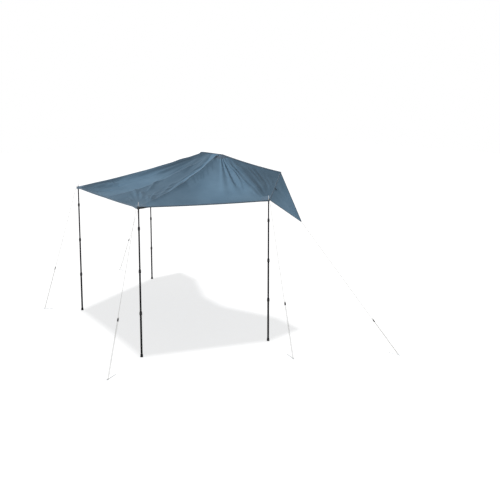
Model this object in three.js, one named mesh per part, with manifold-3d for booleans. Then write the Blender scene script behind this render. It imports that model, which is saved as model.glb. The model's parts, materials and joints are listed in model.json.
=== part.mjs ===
// A side awning for a vehicle: a sewn canopy on four telescopic poles, held out by guy lines and pegs.
// Its upper edge hangs from the vehicle's side.
// +X is the vehicle's front, +Y points at the vehicle, +Z is up.
import * as THREE from 'three'
import Module from 'manifold-3d'

const wasm = await Module()
wasm.setup()

// Driving dimensions of the whole awning, in millimetres, with Y counted from the outer poles
const poleHeight = 2100
const outerHalfSpan = 1070
const innerHalfSpan = 1770
const innerReach = 1690
const ridgeHalfWidth = 300
const ridgeReach = 1920
const ridgeHeight = 2620
const tentHalfSpan = 1290
const tentReach = 2350
const tentHeight = 2392
const flapHalfSpan = 1770
const flapSetback = 10
const flapHeight = 1693
const gap = 0.3
const overrun = 40

// Canopy cloth
const clothThickness = 3
const cornerOverhang = 25
const seatEase = 0.7
const middleSag = 105
const frontRidgeSag = 90
const rearRidgeSag = 34
const innerRidgeSag = 30
const tentEdgeSag = 16
const roofBelly = 26
const sideBelly = 58
const gussetBelly = 20
const outerEdgeDroop = 24
const sideEdgeDroop = 12
const foldHeight = 24
const tipHalfWidth = 14
const flapHollow = 22
const webbingWidth = 38

// Pole tubes, collars, feet and spikes
const footTubeRadius = 14
const tubeWall = 1.2
const tubeLength = 670
const tubeOverlap = 80
const lowestTubeTop = 630
const footFloor = 8
const footHeight = 34
const footWall = 4
const footFlare = 2
const collarBelow = 34
const collarAbove = 16
const collarWall = 4.5
const collarTaper = 2.4
const collarClearance = 0.5
const collarBevel = 3
const fluteDepth = 1.1
const shoulderRim = 1
const shoulderThickness = 4
const stemLength = 28
const pinRadius = 4
const pinLength = 62
const pinPoint = 7
const pinClearance = 0.8

// Guy lines with their sliders and pegs
const cordRadius = 1.5
const cordTurn = 6
const cordBend = 8
const cordEase = 1.5
const cordTail = 12
const sliderUp = 730
const flapSliderUp = 545
const sliderWidth = 24
const sliderDepth = 9
const sliderHeight = 40
const sliderBore = 1.8
const pegRadius = 3
const pegLength = 180
const pegHeadRadius = 7
const pegHeadLength = 12
const pegNeck = 10
const pegPoint = 22
const pegRaise = 8.5

// Where each peg lies, counted from the point on the ground below its line's top
const outerRearPeg = { x: -450, y: -474 }
const outerFrontPeg = { x: 294, y: -622 }
const innerRearPeg = { x: -924, y: -243 }
const innerFrontPeg = { x: 641, y: -98 }
const flapFrontPeg = { x: 1475, y: 466 }

// Faces round a turned piece, steps along a cord's bends, and steps over the cloth
const tubeSides = 20
const collarSides = 16
const footSides = 16
const pinSides = 12
const pegSides = 10
const cordSides = 8
const boreSides = 10
const sliderEndSteps = 5
const turnSteps = 7
const bendSteps = 4
const alongSteps = 12
const roofSteps = 14
const sideSteps = 22
const gussetSteps = 9

const up = new THREE.Vector3(0, 0, 1)
const awning = new THREE.Group()
const middleReach = (tentReach + webbingWidth - cornerOverhang) / 2
awning.position.y = -middleReach

function finish(colour, roughness, metalness) {
  return new THREE.MeshStandardMaterial({ color: colour, roughness, metalness })
}

function addPiece(name, geometry, material) {
  const piece = new THREE.Mesh(geometry, material)
  piece.name = name
  awning.add(piece)
  return piece
}

function indexed(points, triangles) {
  const geometry = new THREE.BufferGeometry()
  const places = points.flatMap((p) => [p.x, p.y, p.z])
  geometry.setAttribute('position', new THREE.Float32BufferAttribute(places, 3))
  geometry.setIndex(triangles.flat())
  return geometry
}

function mirrored(geometry) {
  const copy = geometry.clone().scale(-1, 1, 1)
  const index = Array.from(copy.index.array)
  for (let i = 0; i < index.length; i += 3) [index[i + 1], index[i + 2]] = [index[i + 2], index[i + 1]]
  return copy.setIndex(index)
}

// Cloth: a grid of points with its thickness straight down, so that neighbours meet along upright walls
function thickSheet(rows) {
  const across = rows[0].length
  const count = rows.length * across
  const top = rows.flat()
  const below = top.map((p) => p.clone().addScaledVector(up, -clothThickness))
  const at = (i, j) => i * across + j
  const faces = []
  for (let i = 0; i + 1 < rows.length; i++) {
    for (let j = 0; j + 1 < across; j++) {
      const [a, b, c, d] = [at(i, j), at(i + 1, j), at(i + 1, j + 1), at(i, j + 1)]
      faces.push([a, b, c], [a, c, d], [count + a, count + c, count + b], [count + a, count + d, count + c])
    }
  }
  const last = rows.length - 1
  const rim = []
  for (let i = 0; i < last; i++) rim.push(at(i, 0))
  for (let j = 0; j + 1 < across; j++) rim.push(at(last, j))
  for (let i = last; i > 0; i--) rim.push(at(i, across - 1))
  for (let j = across - 1; j > 0; j--) rim.push(at(0, j))
  rim.forEach((a, k) => {
    const b = rim[(k + 1) % rim.length]
    faces.push([a, count + a, b], [b, count + a, count + b])
  })
  return indexed([...top, ...below], faces)
}

// Draws a line of points in by half a gap, level, towards the next line of the same sheet
function drawIn(line, next) {
  return line.map((p, k) => {
    const before = line[Math.max(k - 1, 0)]
    const after = line[Math.min(k + 1, line.length - 1)]
    const side = new THREE.Vector3(before.y - after.y, after.x - before.x, 0).normalize()
    const towards = next[k].clone().sub(p).dot(side) < 0 ? -1 : 1
    return p.clone().addScaledVector(side, (towards * gap) / 2)
  })
}

// Poles have four tubes, each one a wall and a gap thinner than the one below
const stages = ['bottom', 'lower', 'upper', 'top']
const tubeRadius = stages.map((_, k) => footTubeRadius - k * (tubeWall + gap))
const shoulderRadius = tubeRadius.at(-1) + shoulderRim

// Canopy: one half is three sectors fanned out from the ridge hem.
// A fold is a ridge along one ray of the fan.
// An arch is a parabola of height one, and a fold's rise is one at its highest, a third of the way down.
const arch = (share) => 4 * share * (1 - share)
const foldRise = (share) => (27 / 4) * share * (1 - share) ** 2
const halfArchShare = 0.25
const outerHemShare = 0.8
const innerHemShare = 0.92
const hemPoint = (share) => new THREE.Vector3(share * ridgeHalfWidth, ridgeReach, ridgeHeight)

// Each pole corner: the cloth runs on past the spike, low enough to rest on the shoulder's outer edge
function poleCorner(x, y, hemShare, sag) {
  const top = new THREE.Vector3(x, y, poleHeight)
  const outward = top.clone().sub(hemPoint(hemShare)).setZ(0)
  const fall = (ridgeHeight - poleHeight) / alongSteps - sag * arch(1 / alongSteps)
  const slope = (fall * alongSteps) / (outward.length() + cornerOverhang)
  const rim = top.clone().addScaledVector(outward.normalize(), cornerOverhang)
  rim.z += gap + seatEase + clothThickness - slope * (cornerOverhang - shoulderRadius)
  const clothRise = slope * (shoulderRadius + cordTurn + cordRadius)
  const cordLift = seatEase + clothThickness + clothRise + cordRadius + cordEase
  return { top, rim, cordLift }
}

const tentCorner = new THREE.Vector3(tentHalfSpan, tentReach, tentHeight)

// The folds stand beside each ridge, where the gathered cloth pulls from the hem to a pole.
// Half of the outer edge bows a quarter as deep as the whole edge does.
function canopyHalf(ridgeSag) {
  const outer = poleCorner(outerHalfSpan, 0, outerHemShare, ridgeSag)
  const inner = poleCorner(innerHalfSpan, innerReach, innerHemShare, innerRidgeSag)
  const roof = {
    from: new THREE.Vector3(0, 0, poleHeight + clothThickness - outerEdgeDroop), to: outer.rim,
    hemShares: [0, outerHemShare], sags: [middleSag, ridgeSag],
    belly: roofBelly, droop: outerEdgeDroop * halfArchShare,
    folds: [
      { atShare: 0.62, widthShare: 0.07, heightShare: 0.5 },
      { atShare: 0.8, widthShare: 0.06, heightShare: 1 },
      { atShare: 0.93, widthShare: 0.04, heightShare: 0.75 },
    ],
  }
  const side = {
    from: outer.rim, to: inner.rim,
    hemShares: [outerHemShare, innerHemShare], sags: [ridgeSag, innerRidgeSag],
    belly: sideBelly, droop: sideEdgeDroop,
    folds: [
      { atShare: 0.66, widthShare: 0.05, heightShare: 0.75 },
      { atShare: 0.79, widthShare: 0.045, heightShare: 1 },
      { atShare: 0.91, widthShare: 0.04, heightShare: 1 },
    ],
  }
  const gusset = {
    from: inner.rim, to: tentCorner,
    hemShares: [innerHemShare, 1], sags: [innerRidgeSag, tentEdgeSag],
    belly: gussetBelly, droop: 0,
    folds: [{ atShare: 0.4, widthShare: 0.14, heightShare: 0.5 }],
  }
  return { outer, inner, roof, side, gusset }
}

const front = canopyHalf(frontRidgeSag)
const rear = canopyHalf(rearRidgeSag)

function rimPoint(sector, w) {
  return sector.from.clone().lerp(sector.to, w).addScaledVector(up, -sector.droop * arch(w))
}

function canopyPoint(sector, w, t) {
  const hem = hemPoint(THREE.MathUtils.lerp(...sector.hemShares, w))
  const sag = THREE.MathUtils.lerp(...sector.sags, w) + sector.belly * arch(w)
  let rise = -sag * arch(t)
  for (const fold of sector.folds) {
    const across = (w - fold.atShare) / fold.widthShare
    rise += foldHeight * fold.heightShare * foldRise(t) * Math.exp(-(across ** 2))
  }
  return hem.lerp(rimPoint(sector, w), t).addScaledVector(up, rise)
}

const shares = (steps) => Array.from({ length: steps + 1 }, (_, k) => k / steps)

function canopyPanel(sector, acrossSteps, drawnRim) {
  const rows = shares(acrossSteps).map((w) => shares(alongSteps).map((t) => canopyPoint(sector, w, t)))
  rows[0] = drawIn(rows[0], rows[1])
  rows[acrossSteps] = drawIn(rows[acrossSteps], rows[acrossSteps - 1])
  for (const row of rows) row[0].y -= gap / 2
  if (drawnRim) {
    const rim = drawIn(rows.map((row) => row[alongSteps]), rows.map((row) => row[alongSteps - 1]))
    rows.forEach((row, i) => (row[alongSteps] = rim[i]))
  }
  return thickSheet(rows.reverse())
}

// Flap: a triangle of cloth from the gusset's rim down to its own corner, which a guy line holds out
const flapCorner = new THREE.Vector3(flapHalfSpan, tentReach - flapSetback, flapHeight)

function flapPanel({ inner, gusset }) {
  const seam = shares(gussetSteps).map((w) => rimPoint(gusset, w))
  const alongSeam = tentCorner.clone().sub(inner.rim).normalize()
  const rows = shares(gussetSteps).map((w, i) => {
    const tip = flapCorner.clone().addScaledVector(alongSeam, (2 * w - 1) * tipHalfWidth)
    return shares(gussetSteps).map((t) => {
      const p = seam[i].clone().lerp(tip, t)
      return p.add(new THREE.Vector3(-flapHollow * arch(w) * arch(t), 0, 0))
    })
  })
  const drawn = drawIn(rows.map((row) => row[0]), rows.map((row) => row[1]))
  rows.forEach((row, i) => (row[0] = drawn[i]))
  return thickSheet(rows.reverse())
}

// Webbing: a flat band along the edge that hangs from the vehicle, from corner to corner over the hem
function tentWebbing() {
  const slope = shares(alongSteps).map((t) => canopyPoint(front.gusset, 1, 1 - t))
  const left = [...slope].reverse().map((p) => p.clone().setX(-p.x))
  const edge = [...slope, ...left]
  const rows = edge.map((p, k) => {
    const before = edge[Math.max(k - 1, 0)]
    const after = edge[Math.min(k + 1, edge.length - 1)]
    const away = new THREE.Vector3(after.y - before.y, before.x - after.x, 0).normalize()
    return [gap / 2, webbingWidth].map((d) => p.clone().addScaledVector(away, d))
  })
  return thickSheet(rows.reverse())
}

// Solids that cut one another
function solid(geometry) {
  const plain = geometry.index ? geometry : weld(geometry)
  const triVerts = Uint32Array.from(plain.index.array)
  const vertProperties = Float32Array.from(plain.attributes.position.array)
  return new wasm.Manifold(new wasm.Mesh({ numProp: 3, vertProperties, triVerts }))
}

function fromSolid(body) {
  const mesh = body.getMesh()
  const geometry = new THREE.BufferGeometry()
  geometry.setAttribute('position', new THREE.Float32BufferAttribute(mesh.vertProperties, 3))
  geometry.setIndex(Array.from(mesh.triVerts))
  return geometry
}

function weld(geometry) {
  const places = new Map()
  const points = []
  const source = geometry.attributes.position
  const corner = (k) => {
    const p = new THREE.Vector3().fromBufferAttribute(source, k)
    const key = [p.x, p.y, p.z].map((value) => value.toFixed(4)).join()
    if (!places.has(key)) places.set(key, points.push(p) - 1)
    return places.get(key)
  }
  const triangles = []
  const order = geometry.index ? Array.from(geometry.index.array) : [...Array(source.count).keys()]
  for (let k = 0; k < order.length; k += 3) {
    const [a, b, c] = [corner(order[k]), corner(order[k + 1]), corner(order[k + 2])]
    if (a !== b && b !== c && c !== a) triangles.push([a, b, c])
  }
  return indexed(points, triangles)
}

function pinHole(top) {
  const radius = pinRadius + pinClearance
  const hole = new THREE.CylinderGeometry(radius, radius, 2 * overrun, pinSides)
  hole.rotateX(Math.PI / 2)
  return solid(weld(hole.translate(top.x, top.y, top.z)))
}

// Turned pieces stand on the pole's axis: a closed profile of [radius, height] pairs
function turned(profile, sides, grooveDepth = 0) {
  const closed = [...profile, profile[0]].map(([r, z]) => new THREE.Vector2(r, z))
  const geometry = new THREE.LatheGeometry(closed, sides)
  geometry.rotateX(Math.PI / 2)
  if (!grooveDepth) return weld(geometry)
  const place = geometry.attributes.position
  const grip = Math.max(...profile.map(([r]) => r))
  for (let k = 0; k < place.count; k++) {
    const side = Math.floor(k / closed.length)
    const radius = Math.hypot(place.getX(k), place.getY(k))
    if (side % 2 && radius > grip - gap) {
      const share = (radius - grooveDepth) / radius
      place.setXY(k, place.getX(k) * share, place.getY(k) * share)
    }
  }
  return weld(geometry)
}

// Poles: each tube slides in the one below, with a twist collar on every lower tube's mouth
const tubeShown = tubeLength - tubeOverlap
const tubeTop = [0, 1, 2].map((k) => lowestTubeTop + k * tubeShown)
tubeTop.push(poleHeight - shoulderThickness - 2 * gap)
const tubeBase = [footFloor + gap, ...tubeTop.slice(1).map((z) => z - tubeLength)]
const tubeMetal = [0x17181a, 0x1c1d20, 0x26272b, 0x3a3b40].map((colour) => finish(colour, 0.35, 0.85))
const collarPlastic = finish(0x0d0d0f, 0.55, 0)
const footRubber = finish(0x101011, 0.85, 0)
const spikeSteel = finish(0xb9bbbd, 0.3, 1)

function tube(k) {
  const [outer, inner] = [tubeRadius[k], tubeRadius[k] - tubeWall]
  const [base, top] = [tubeBase[k], tubeTop[k]]
  return turned([[inner, base], [outer, base], [outer, top], [inner, top]], tubeSides)
}

function collar(k) {
  const top = tubeTop[k]
  const bore = tubeRadius[k] + collarClearance
  const throat = tubeRadius[k + 1] + collarClearance
  const grip = bore + collarWall
  const neck = grip - collarTaper
  const outline = [
    [bore, top - collarBelow], [neck, top - collarBelow], [grip, top - collarBelow + collarBevel],
    [grip, top], [neck, top + collarAbove], [throat, top + collarAbove],
    [throat, top + gap], [bore, top + gap],
  ]
  return turned(outline, collarSides, fluteDepth)
}

function foot() {
  const bore = footTubeRadius + gap
  const wall = bore + footWall
  const outline = [
    [0, 0], [wall + footFlare - gap, 0], [wall + footFlare, footFloor], [wall, footHeight],
    [bore, footHeight], [bore, footFloor], [0, footFloor],
  ]
  return turned(outline, footSides)
}

function spike() {
  const seat = poleHeight - gap
  const shoulder = seat - shoulderThickness
  const stem = tubeRadius.at(-1) - tubeWall - gap
  const tip = seat + pinLength
  const outline = [
    [0, shoulder - stemLength], [stem, shoulder - stemLength], [stem, shoulder],
    [shoulderRadius, shoulder], [shoulderRadius, seat], [pinRadius, seat],
    [pinRadius, tip - pinPoint], [pinRadius / 2, tip], [0, tip],
  ]
  return turned(outline, pinSides)
}

function addPole(name, x, y) {
  const pieces = stages.map((stage, k) => addPiece(`pole_${name}_${stage}_tube`, tube(k), tubeMetal[k]))
  for (const [k, stage] of stages.slice(0, -1).entries()) {
    pieces.push(addPiece(`pole_${name}_${stage}_collar`, collar(k), collarPlastic))
  }
  pieces.push(addPiece(`pole_${name}_foot`, foot(), footRubber))
  pieces.push(addPiece(`pole_${name}_spike`, spike(), spikeSteel))
  for (const piece of pieces) piece.position.set(x, y, 0)
}

// A cord's route is a list of points, and each point is one ring of the tube
class Route extends THREE.Curve {
  constructor(points) {
    super()
    this.points = points
  }

  getPoint(share, target = new THREE.Vector3()) {
    const place = share * (this.points.length - 1)
    const k = Math.min(Math.floor(place), this.points.length - 2)
    return target.copy(this.points[k]).lerp(this.points[k + 1], place - k)
  }

  getPointAt(share, target) {
    return this.getPoint(share, target)
  }

  getTangentAt(share, target = new THREE.Vector3()) {
    const k = Math.round(share * (this.points.length - 1))
    const [here, last] = [this.points[k], this.points.length - 1]
    const before = here.clone().sub(this.points[Math.max(k - 1, 0)]).normalize()
    const after = this.points[Math.min(k + 1, last)].clone().sub(here).normalize()
    return target.copy(before).add(after).normalize()
  }
}

function cordTube(points) {
  const section = new THREE.Shape()
  for (let k = 0; k < cordSides; k++) {
    const turn = (2 * Math.PI * k) / cordSides
    const corner = [cordRadius * Math.cos(turn), cordRadius * Math.sin(turn)]
    if (k === 0) section.moveTo(...corner)
    else section.lineTo(...corner)
  }
  section.closePath()
  const extrudePath = new Route(points)
  return new THREE.ExtrudeGeometry(section, { steps: points.length - 1, extrudePath, bevelEnabled: false })
}

// Guy lines run from a turn round the spike, or from the flap's corner, down through the slider,
// round the peg and back up to the slider
const spikeTurnShare = 0.75
const lineCord = finish(0xb7b3aa, 0.8, 0)
const sliderPlastic = finish(0x1d1e20, 0.5, 0)
const pegSteel = finish(0x6d7377, 0.4, 0.9)

function lineFrame(top, peg) {
  const out = new THREE.Vector3(peg.x, peg.y, 0).normalize()
  const side = new THREE.Vector3().crossVectors(up, out)
  const ground = new THREE.Vector3(top.x + peg.x, top.y + peg.y, pegRaise)
  return { out, side, ground }
}

function spikeTurn({ top, cordLift }, { out, side }) {
  const centre = top.clone().addScaledVector(up, cordLift)
  const points = shares(turnSteps).map((share) => {
    const turn = -2 * Math.PI * spikeTurnShare * (1 - share)
    const spoke = side.clone().multiplyScalar(-Math.cos(turn)).addScaledVector(out, Math.sin(turn))
    return centre.clone().addScaledVector(spoke, cordTurn)
  })
  return { centre, points }
}

function bendOver(centre, { out, side, ground }) {
  const hub = centre.clone().addScaledVector(up, -cordBend)
  hub.addScaledVector(out, cornerOverhang + 2 * cordRadius)
  const reach = ground.clone().sub(hub)
  const level = reach.dot(out)
  const leave = Math.atan2(reach.z, level) + Math.acos(cordBend / Math.hypot(level, reach.z))
  return shares(bendSteps).map((share) => {
    const turn = THREE.MathUtils.lerp(Math.PI / 2, leave, share)
    const spoke = out.clone().multiplyScalar(Math.cos(turn)).addScaledVector(up, Math.sin(turn))
    return hub.clone().addScaledVector(spoke, cordBend).addScaledVector(side, -cordTurn)
  })
}

function pegTurn({ side, ground }, down) {
  return shares(turnSteps).map((share) => {
    const turn = Math.PI * share
    const spoke = side.clone().multiplyScalar(-Math.cos(turn)).addScaledVector(down, Math.sin(turn))
    return ground.clone().addScaledVector(spoke, cordTurn)
  })
}

function slider() {
  const half = sliderWidth / 2
  const round = sliderDepth / 2
  const outline = new THREE.Shape()
  outline.absarc(half - round, 0, round, -Math.PI / 2, Math.PI / 2, false)
  outline.absarc(round - half, 0, round, Math.PI / 2, (3 * Math.PI) / 2, false)
  outline.closePath()
  for (const x of [-cordTurn, cordTurn]) {
    const hole = new THREE.Path()
    hole.setFromPoints(shares(boreSides).slice(1).map((share) => {
      const turn = 2 * Math.PI * share
      return new THREE.Vector2(x + sliderBore * Math.cos(turn), sliderBore * Math.sin(turn))
    }))
    outline.holes.push(hole)
  }
  const settings = { depth: sliderHeight, bevelEnabled: false, curveSegments: sliderEndSteps }
  const bar = new THREE.ExtrudeGeometry(outline, settings)
  return weld(bar.translate(0, 0, -sliderHeight / 2))
}

const pegShank = pegLength - pegHeadLength - pegNeck - pegPoint

function peg() {
  const outline = [
    [0, -pegNeck - pegHeadLength], [pegHeadRadius, -pegNeck - pegHeadLength], [pegHeadRadius, -pegNeck],
    [pegRadius, -pegNeck], [pegRadius, pegShank], [0, pegShank + pegPoint],
  ]
  return turned(outline, pegSides)
}

function spikeLine(name, corner, pegPlace) {
  const frame = lineFrame(corner.top, pegPlace)
  const { centre, points } = spikeTurn(corner, frame)
  addLine(name, frame, [...points, ...bendOver(centre, frame)], sliderUp)
}

function flapLine(name, pegPlace) {
  const frame = lineFrame(flapCorner, pegPlace)
  const offTip = new THREE.Vector3().crossVectors(tentCorner.clone().sub(front.inner.rim), up).normalize()
  const start = flapCorner.clone().addScaledVector(up, -clothThickness / 2)
  start.addScaledVector(frame.side, -cordTurn)
  const short = gap + cordRadius - start.clone().sub(flapCorner).dot(offTip)
  addLine(name, frame, [start.addScaledVector(offTip, short)], flapSliderUp)
}

function addLine(name, frame, start, upBy) {
  const strandEnd = frame.ground.clone().addScaledVector(frame.side, -cordTurn)
  const down = strandEnd.clone().sub(start.at(-1)).normalize()
  const middle = frame.ground.clone().addScaledVector(down, -upBy)
  const tail = middle.clone().addScaledVector(down, -sliderHeight / 2 - cordTail)
  tail.addScaledVector(frame.side, cordTurn)
  addPiece(`guy_line_${name}`, cordTube([...start, ...pegTurn(frame, down), tail]), lineCord)
  const block = addPiece(`line_slider_${name}`, slider(), sliderPlastic)
  block.position.copy(middle)
  const depth = new THREE.Vector3().crossVectors(down, frame.side)
  block.quaternion.setFromRotationMatrix(new THREE.Matrix4().makeBasis(frame.side, depth, down))
  const pin = addPiece(`ground_peg_${name}`, peg(), pegSteel)
  const slack = cordTurn - cordRadius - gap + pegRadius / down.z
  pin.position.copy(frame.ground).addScaledVector(down, slack)
  const drop = (pin.position.z - pegRadius - gap) / pegShank
  const inward = frame.out.clone().negate().addScaledVector(up, -drop).normalize()
  pin.quaternion.setFromUnitVectors(up, inward)
}

// Assembly: cloth first, then the poles under its corners, then the lines
const roofCloth = finish(0x62809a, 0.8, 0)
const sideCloth = finish(0x6a88a1, 0.8, 0)
const flapCloth = finish(0x5e7890, 0.8, 0)
const edgeWebbing = finish(0x46586a, 0.85, 0)

function addHalf(name, half, shaped) {
  const { outer, inner, roof, side, gusset } = half
  const [outerHole, innerHole] = [pinHole(outer.top), pinHole(inner.top)]
  const sideSheet = solid(canopyPanel(side, sideSteps, false))
  const panels = {
    roof_panel: [solid(canopyPanel(roof, roofSteps, false)).subtract(outerHole), roofCloth],
    side_panel: [sideSheet.subtract(outerHole).subtract(innerHole), sideCloth],
    gusset_panel: [solid(canopyPanel(gusset, gussetSteps, true)).subtract(innerHole), sideCloth],
    flap: [solid(flapPanel(half)).subtract(innerHole), flapCloth],
  }
  for (const [panel, [body, cloth]] of Object.entries(panels)) {
    addPiece(`${panel}_${name}`, shaped(fromSolid(body)), cloth)
  }
}

addHalf('front', front, (geometry) => geometry)
addHalf('rear', rear, mirrored)
addPiece('tent_edge_webbing', tentWebbing(), edgeWebbing)

const reversed = (corner) => ({ ...corner, top: corner.top.clone().setX(-corner.top.x) })
const spots = [
  { name: 'outer_front', corner: front.outer, pegPlace: outerFrontPeg },
  { name: 'outer_rear', corner: reversed(rear.outer), pegPlace: outerRearPeg },
  { name: 'inner_front', corner: front.inner, pegPlace: innerFrontPeg },
  { name: 'inner_rear', corner: reversed(rear.inner), pegPlace: innerRearPeg },
]
for (const { name, corner, pegPlace } of spots) {
  addPole(name, corner.top.x, corner.top.y)
  spikeLine(name, corner, pegPlace)
}
flapLine('flap_front', flapFrontPeg)

export default awning
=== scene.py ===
# A side awning, dressed round its construction frame.
# All sizes are in metres, with +Z up, +Y towards the side that the awning is fixed to, and +X forwards.
import json
import math

import bmesh
import bpy
import numpy as np
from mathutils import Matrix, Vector
from mathutils.bvhtree import BVHTree

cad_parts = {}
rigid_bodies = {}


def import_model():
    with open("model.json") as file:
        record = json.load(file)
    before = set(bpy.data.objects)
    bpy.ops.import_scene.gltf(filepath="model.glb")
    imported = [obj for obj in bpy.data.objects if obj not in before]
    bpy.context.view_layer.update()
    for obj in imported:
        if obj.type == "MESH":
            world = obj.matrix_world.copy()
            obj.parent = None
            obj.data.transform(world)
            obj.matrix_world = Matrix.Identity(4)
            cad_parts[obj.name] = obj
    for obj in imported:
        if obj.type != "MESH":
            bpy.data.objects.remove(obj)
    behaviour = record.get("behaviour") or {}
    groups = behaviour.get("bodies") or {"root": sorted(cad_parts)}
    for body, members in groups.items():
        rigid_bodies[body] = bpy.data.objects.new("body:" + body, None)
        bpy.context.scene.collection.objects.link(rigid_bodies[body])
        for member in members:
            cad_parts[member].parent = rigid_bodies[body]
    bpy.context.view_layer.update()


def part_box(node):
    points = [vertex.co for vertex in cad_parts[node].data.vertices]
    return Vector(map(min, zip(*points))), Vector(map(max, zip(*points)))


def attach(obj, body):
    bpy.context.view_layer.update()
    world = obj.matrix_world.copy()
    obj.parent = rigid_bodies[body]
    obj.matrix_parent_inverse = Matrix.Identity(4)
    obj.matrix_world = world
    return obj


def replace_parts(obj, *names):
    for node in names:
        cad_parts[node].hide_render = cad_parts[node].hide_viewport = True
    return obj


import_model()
scene = bpy.context.scene

# Camera
# A tripod 3.5 m up, off the awning's outer front corner, looks 6 degrees down on the canopy.
# The lens is shifted down, as an architectural lens is, so that the poles stay upright.
EYE = (7.59, -4.4625, 3.523)
LOOK_DOWN = math.radians(6)
LOOK_LEFT = math.radians(51.49)
LENS_MM = 39.05
SENSOR_MM = 36
LENS_SHIFT = -0.1866
VIEW_REACH = 200

camera_data = bpy.data.cameras.new("camera")
camera_data.lens = LENS_MM
camera_data.sensor_width = SENSOR_MM
camera_data.shift_y = LENS_SHIFT
camera_data.clip_end = VIEW_REACH
camera = bpy.data.objects.new("camera", camera_data)
camera.location = EYE
camera.rotation_euler = (math.pi / 2 - LOOK_DOWN, 0, LOOK_LEFT)
scene.collection.objects.link(camera)
scene.camera = camera
scene.view_settings.view_transform = "Standard"

# Studio
# A white paper floor in a white room, lit from straight above and by a broad soft key from the camera's left.
# The paper is printed white for the eye, and keeps only the faint flat shadow that the canopy throws on it.
PAPER_SIZE = 60
PAPER_DROP = 0.0005
PAPER_GLOW = 0.675
PAPER_SHARE = 0.86
ROOM_LEVEL = 0.22
TOP_LEVEL = 0.95
TOP_WIDTH = math.radians(5)
KEY_LEVEL = 2.6
KEY_WIDTH = math.radians(30)
KEY_FROM = Vector((-0.15, -0.90, 0.43))


def linear(hex_colour):
    values = [int(hex_colour[k:k + 2], 16) / 255 for k in (1, 3, 5)]
    return (*[v / 12.92 if v <= 0.04045 else ((v + 0.055) / 1.055) ** 2.4 for v in values], 1)


def fit(node, settings):
    """Settings are a node's attributes, or inputs by name or number: a value, or a socket or node."""
    for key, value in settings.items():
        if isinstance(value, bpy.types.Node):
            value = value.outputs[0]
        if isinstance(key, str) and key not in node.inputs:
            setattr(node, key, value)
        elif isinstance(value, bpy.types.NodeSocket):
            node.id_data.links.new(value, node.inputs[key])
        else:
            node.inputs[key].default_value = value
    return node


def add(tree, kind, settings):
    """Adds a shader node of this kind, with its settings and links."""
    return fit(tree.nodes.new("ShaderNode" + kind), settings)


def seen_straight(tree):
    """One for rays from the camera and for those that metal or glass sends on."""
    path = add(tree, "LightPath", {})
    either = add(tree, "Math", {
        "operation": "MAXIMUM", 0: path.outputs["Is Camera Ray"], 1: path.outputs["Is Glossy Ray"],
    })
    return add(tree, "Math", {
        "operation": "MAXIMUM", 0: either, 1: path.outputs["Is Transmission Ray"],
    })


def bare_tree(owner):
    owner.use_nodes = True
    owner.node_tree.nodes.clear()
    return owner.node_tree


# The room: white where it is looked at, and an even grey as a light
room = bpy.data.worlds.new("white_room")
scene.world = room
tree = bare_tree(room)
level = add(tree, "MapRange", {
    "Value": seen_straight(tree), "To Min": ROOM_LEVEL, "To Max": 1.0,
})
background = add(tree, "Background", {"Color": (1, 1, 1, 1), "Strength": level})
add(tree, "OutputWorld", {"Surface": background})

# The paper: matt white, with most of its white printed on where it is looked at
paper = bpy.data.materials.new("white_paper")
tree = bare_tree(paper)
matt = add(tree, "BsdfDiffuse", {"Color": linear("#f2f2f2")})
faint = add(tree, "BsdfDiffuse", {"Color": (PAPER_SHARE, PAPER_SHARE, PAPER_SHARE, 1)})
glow = add(tree, "Emission", {"Strength": PAPER_GLOW})
printed = add(tree, "AddShader", {0: faint, 1: glow})
chosen = add(tree, "MixShader", {0: seen_straight(tree), 1: matt, 2: printed})
add(tree, "OutputMaterial", {"Surface": chosen})

floor_mesh = bpy.data.meshes.new("paper_floor")
half = PAPER_SIZE / 2
corners = [(x * half, y * half, -PAPER_DROP) for x, y in ((-1, -1), (1, -1), (1, 1), (-1, 1))]
floor_mesh.from_pydata(corners, [], [(0, 1, 2, 3)])
floor_mesh.materials.append(paper)
floor = bpy.data.objects.new("paper_floor", floor_mesh)
scene.collection.objects.link(floor)

for name, level, width, towards in (
    ("top_light", TOP_LEVEL, TOP_WIDTH, Vector((0, 0, 1))), ("key_light", KEY_LEVEL, KEY_WIDTH, KEY_FROM),
):
    light_data = bpy.data.lights.new(name, "SUN")
    light_data.energy = level
    light_data.angle = width
    light = bpy.data.objects.new(name, light_data)
    light.rotation_euler = towards.to_track_quat("Z", "Y").to_euler()
    scene.collection.objects.link(light)
# A flag keeps the key, the last lamp made, off the paper, so that only the shadow from above lies there.
# The set of what the key does light is filled when all the pieces are made.
key_lit = bpy.data.collections.new("lit_by_the_key")
light.light_linking.receiver_collection = key_lit

# Pole tubes
# Each pole is four drawn aluminium tubes, dark anodised, that slide into one another like a telescope.
# Every tube's mouth is rolled smooth, and drawing lines and rubbed streaks run along it.
MM = 0.001
TURN_SIDES = 48
WELD = 0.005 * MM
SHARP = math.radians(32)
POLES = ("outer_front", "outer_rear", "inner_front", "inner_rear")
STAGES = ("bottom", "lower", "upper", "top")
TUBE_WALL = 1.2 * MM
TUBE_ROLL = 0.35 * MM
TUBE_COLOURS = {"bottom": "#09090a", "lower": "#09090a", "upper": "#0e0e10", "top": "#131315"}
RUBBED_COLOUR = "#232427"
DRAWN_LINES_MM = 0.6
RUB_LENGTH_MM = 90


def put(mesh, material, body="root"):
    """A finished piece, named as its mesh is: smooth but for its real edges, and on the body it rides."""
    mesh.materials.append(material)
    mesh.shade_smooth()
    mesh.set_sharp_from_angle(angle=SHARP)
    piece = bpy.data.objects.new(mesh.name, mesh)
    scene.collection.objects.link(piece)
    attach(piece, body)
    return piece


def mesh_of(name, points, faces):
    mesh = bpy.data.meshes.new(name)
    mesh.from_pydata([tuple(p) for p in points], [], [tuple(int(k) for k in f) for f in faces])
    mesh.validate()
    return mesh


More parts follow.
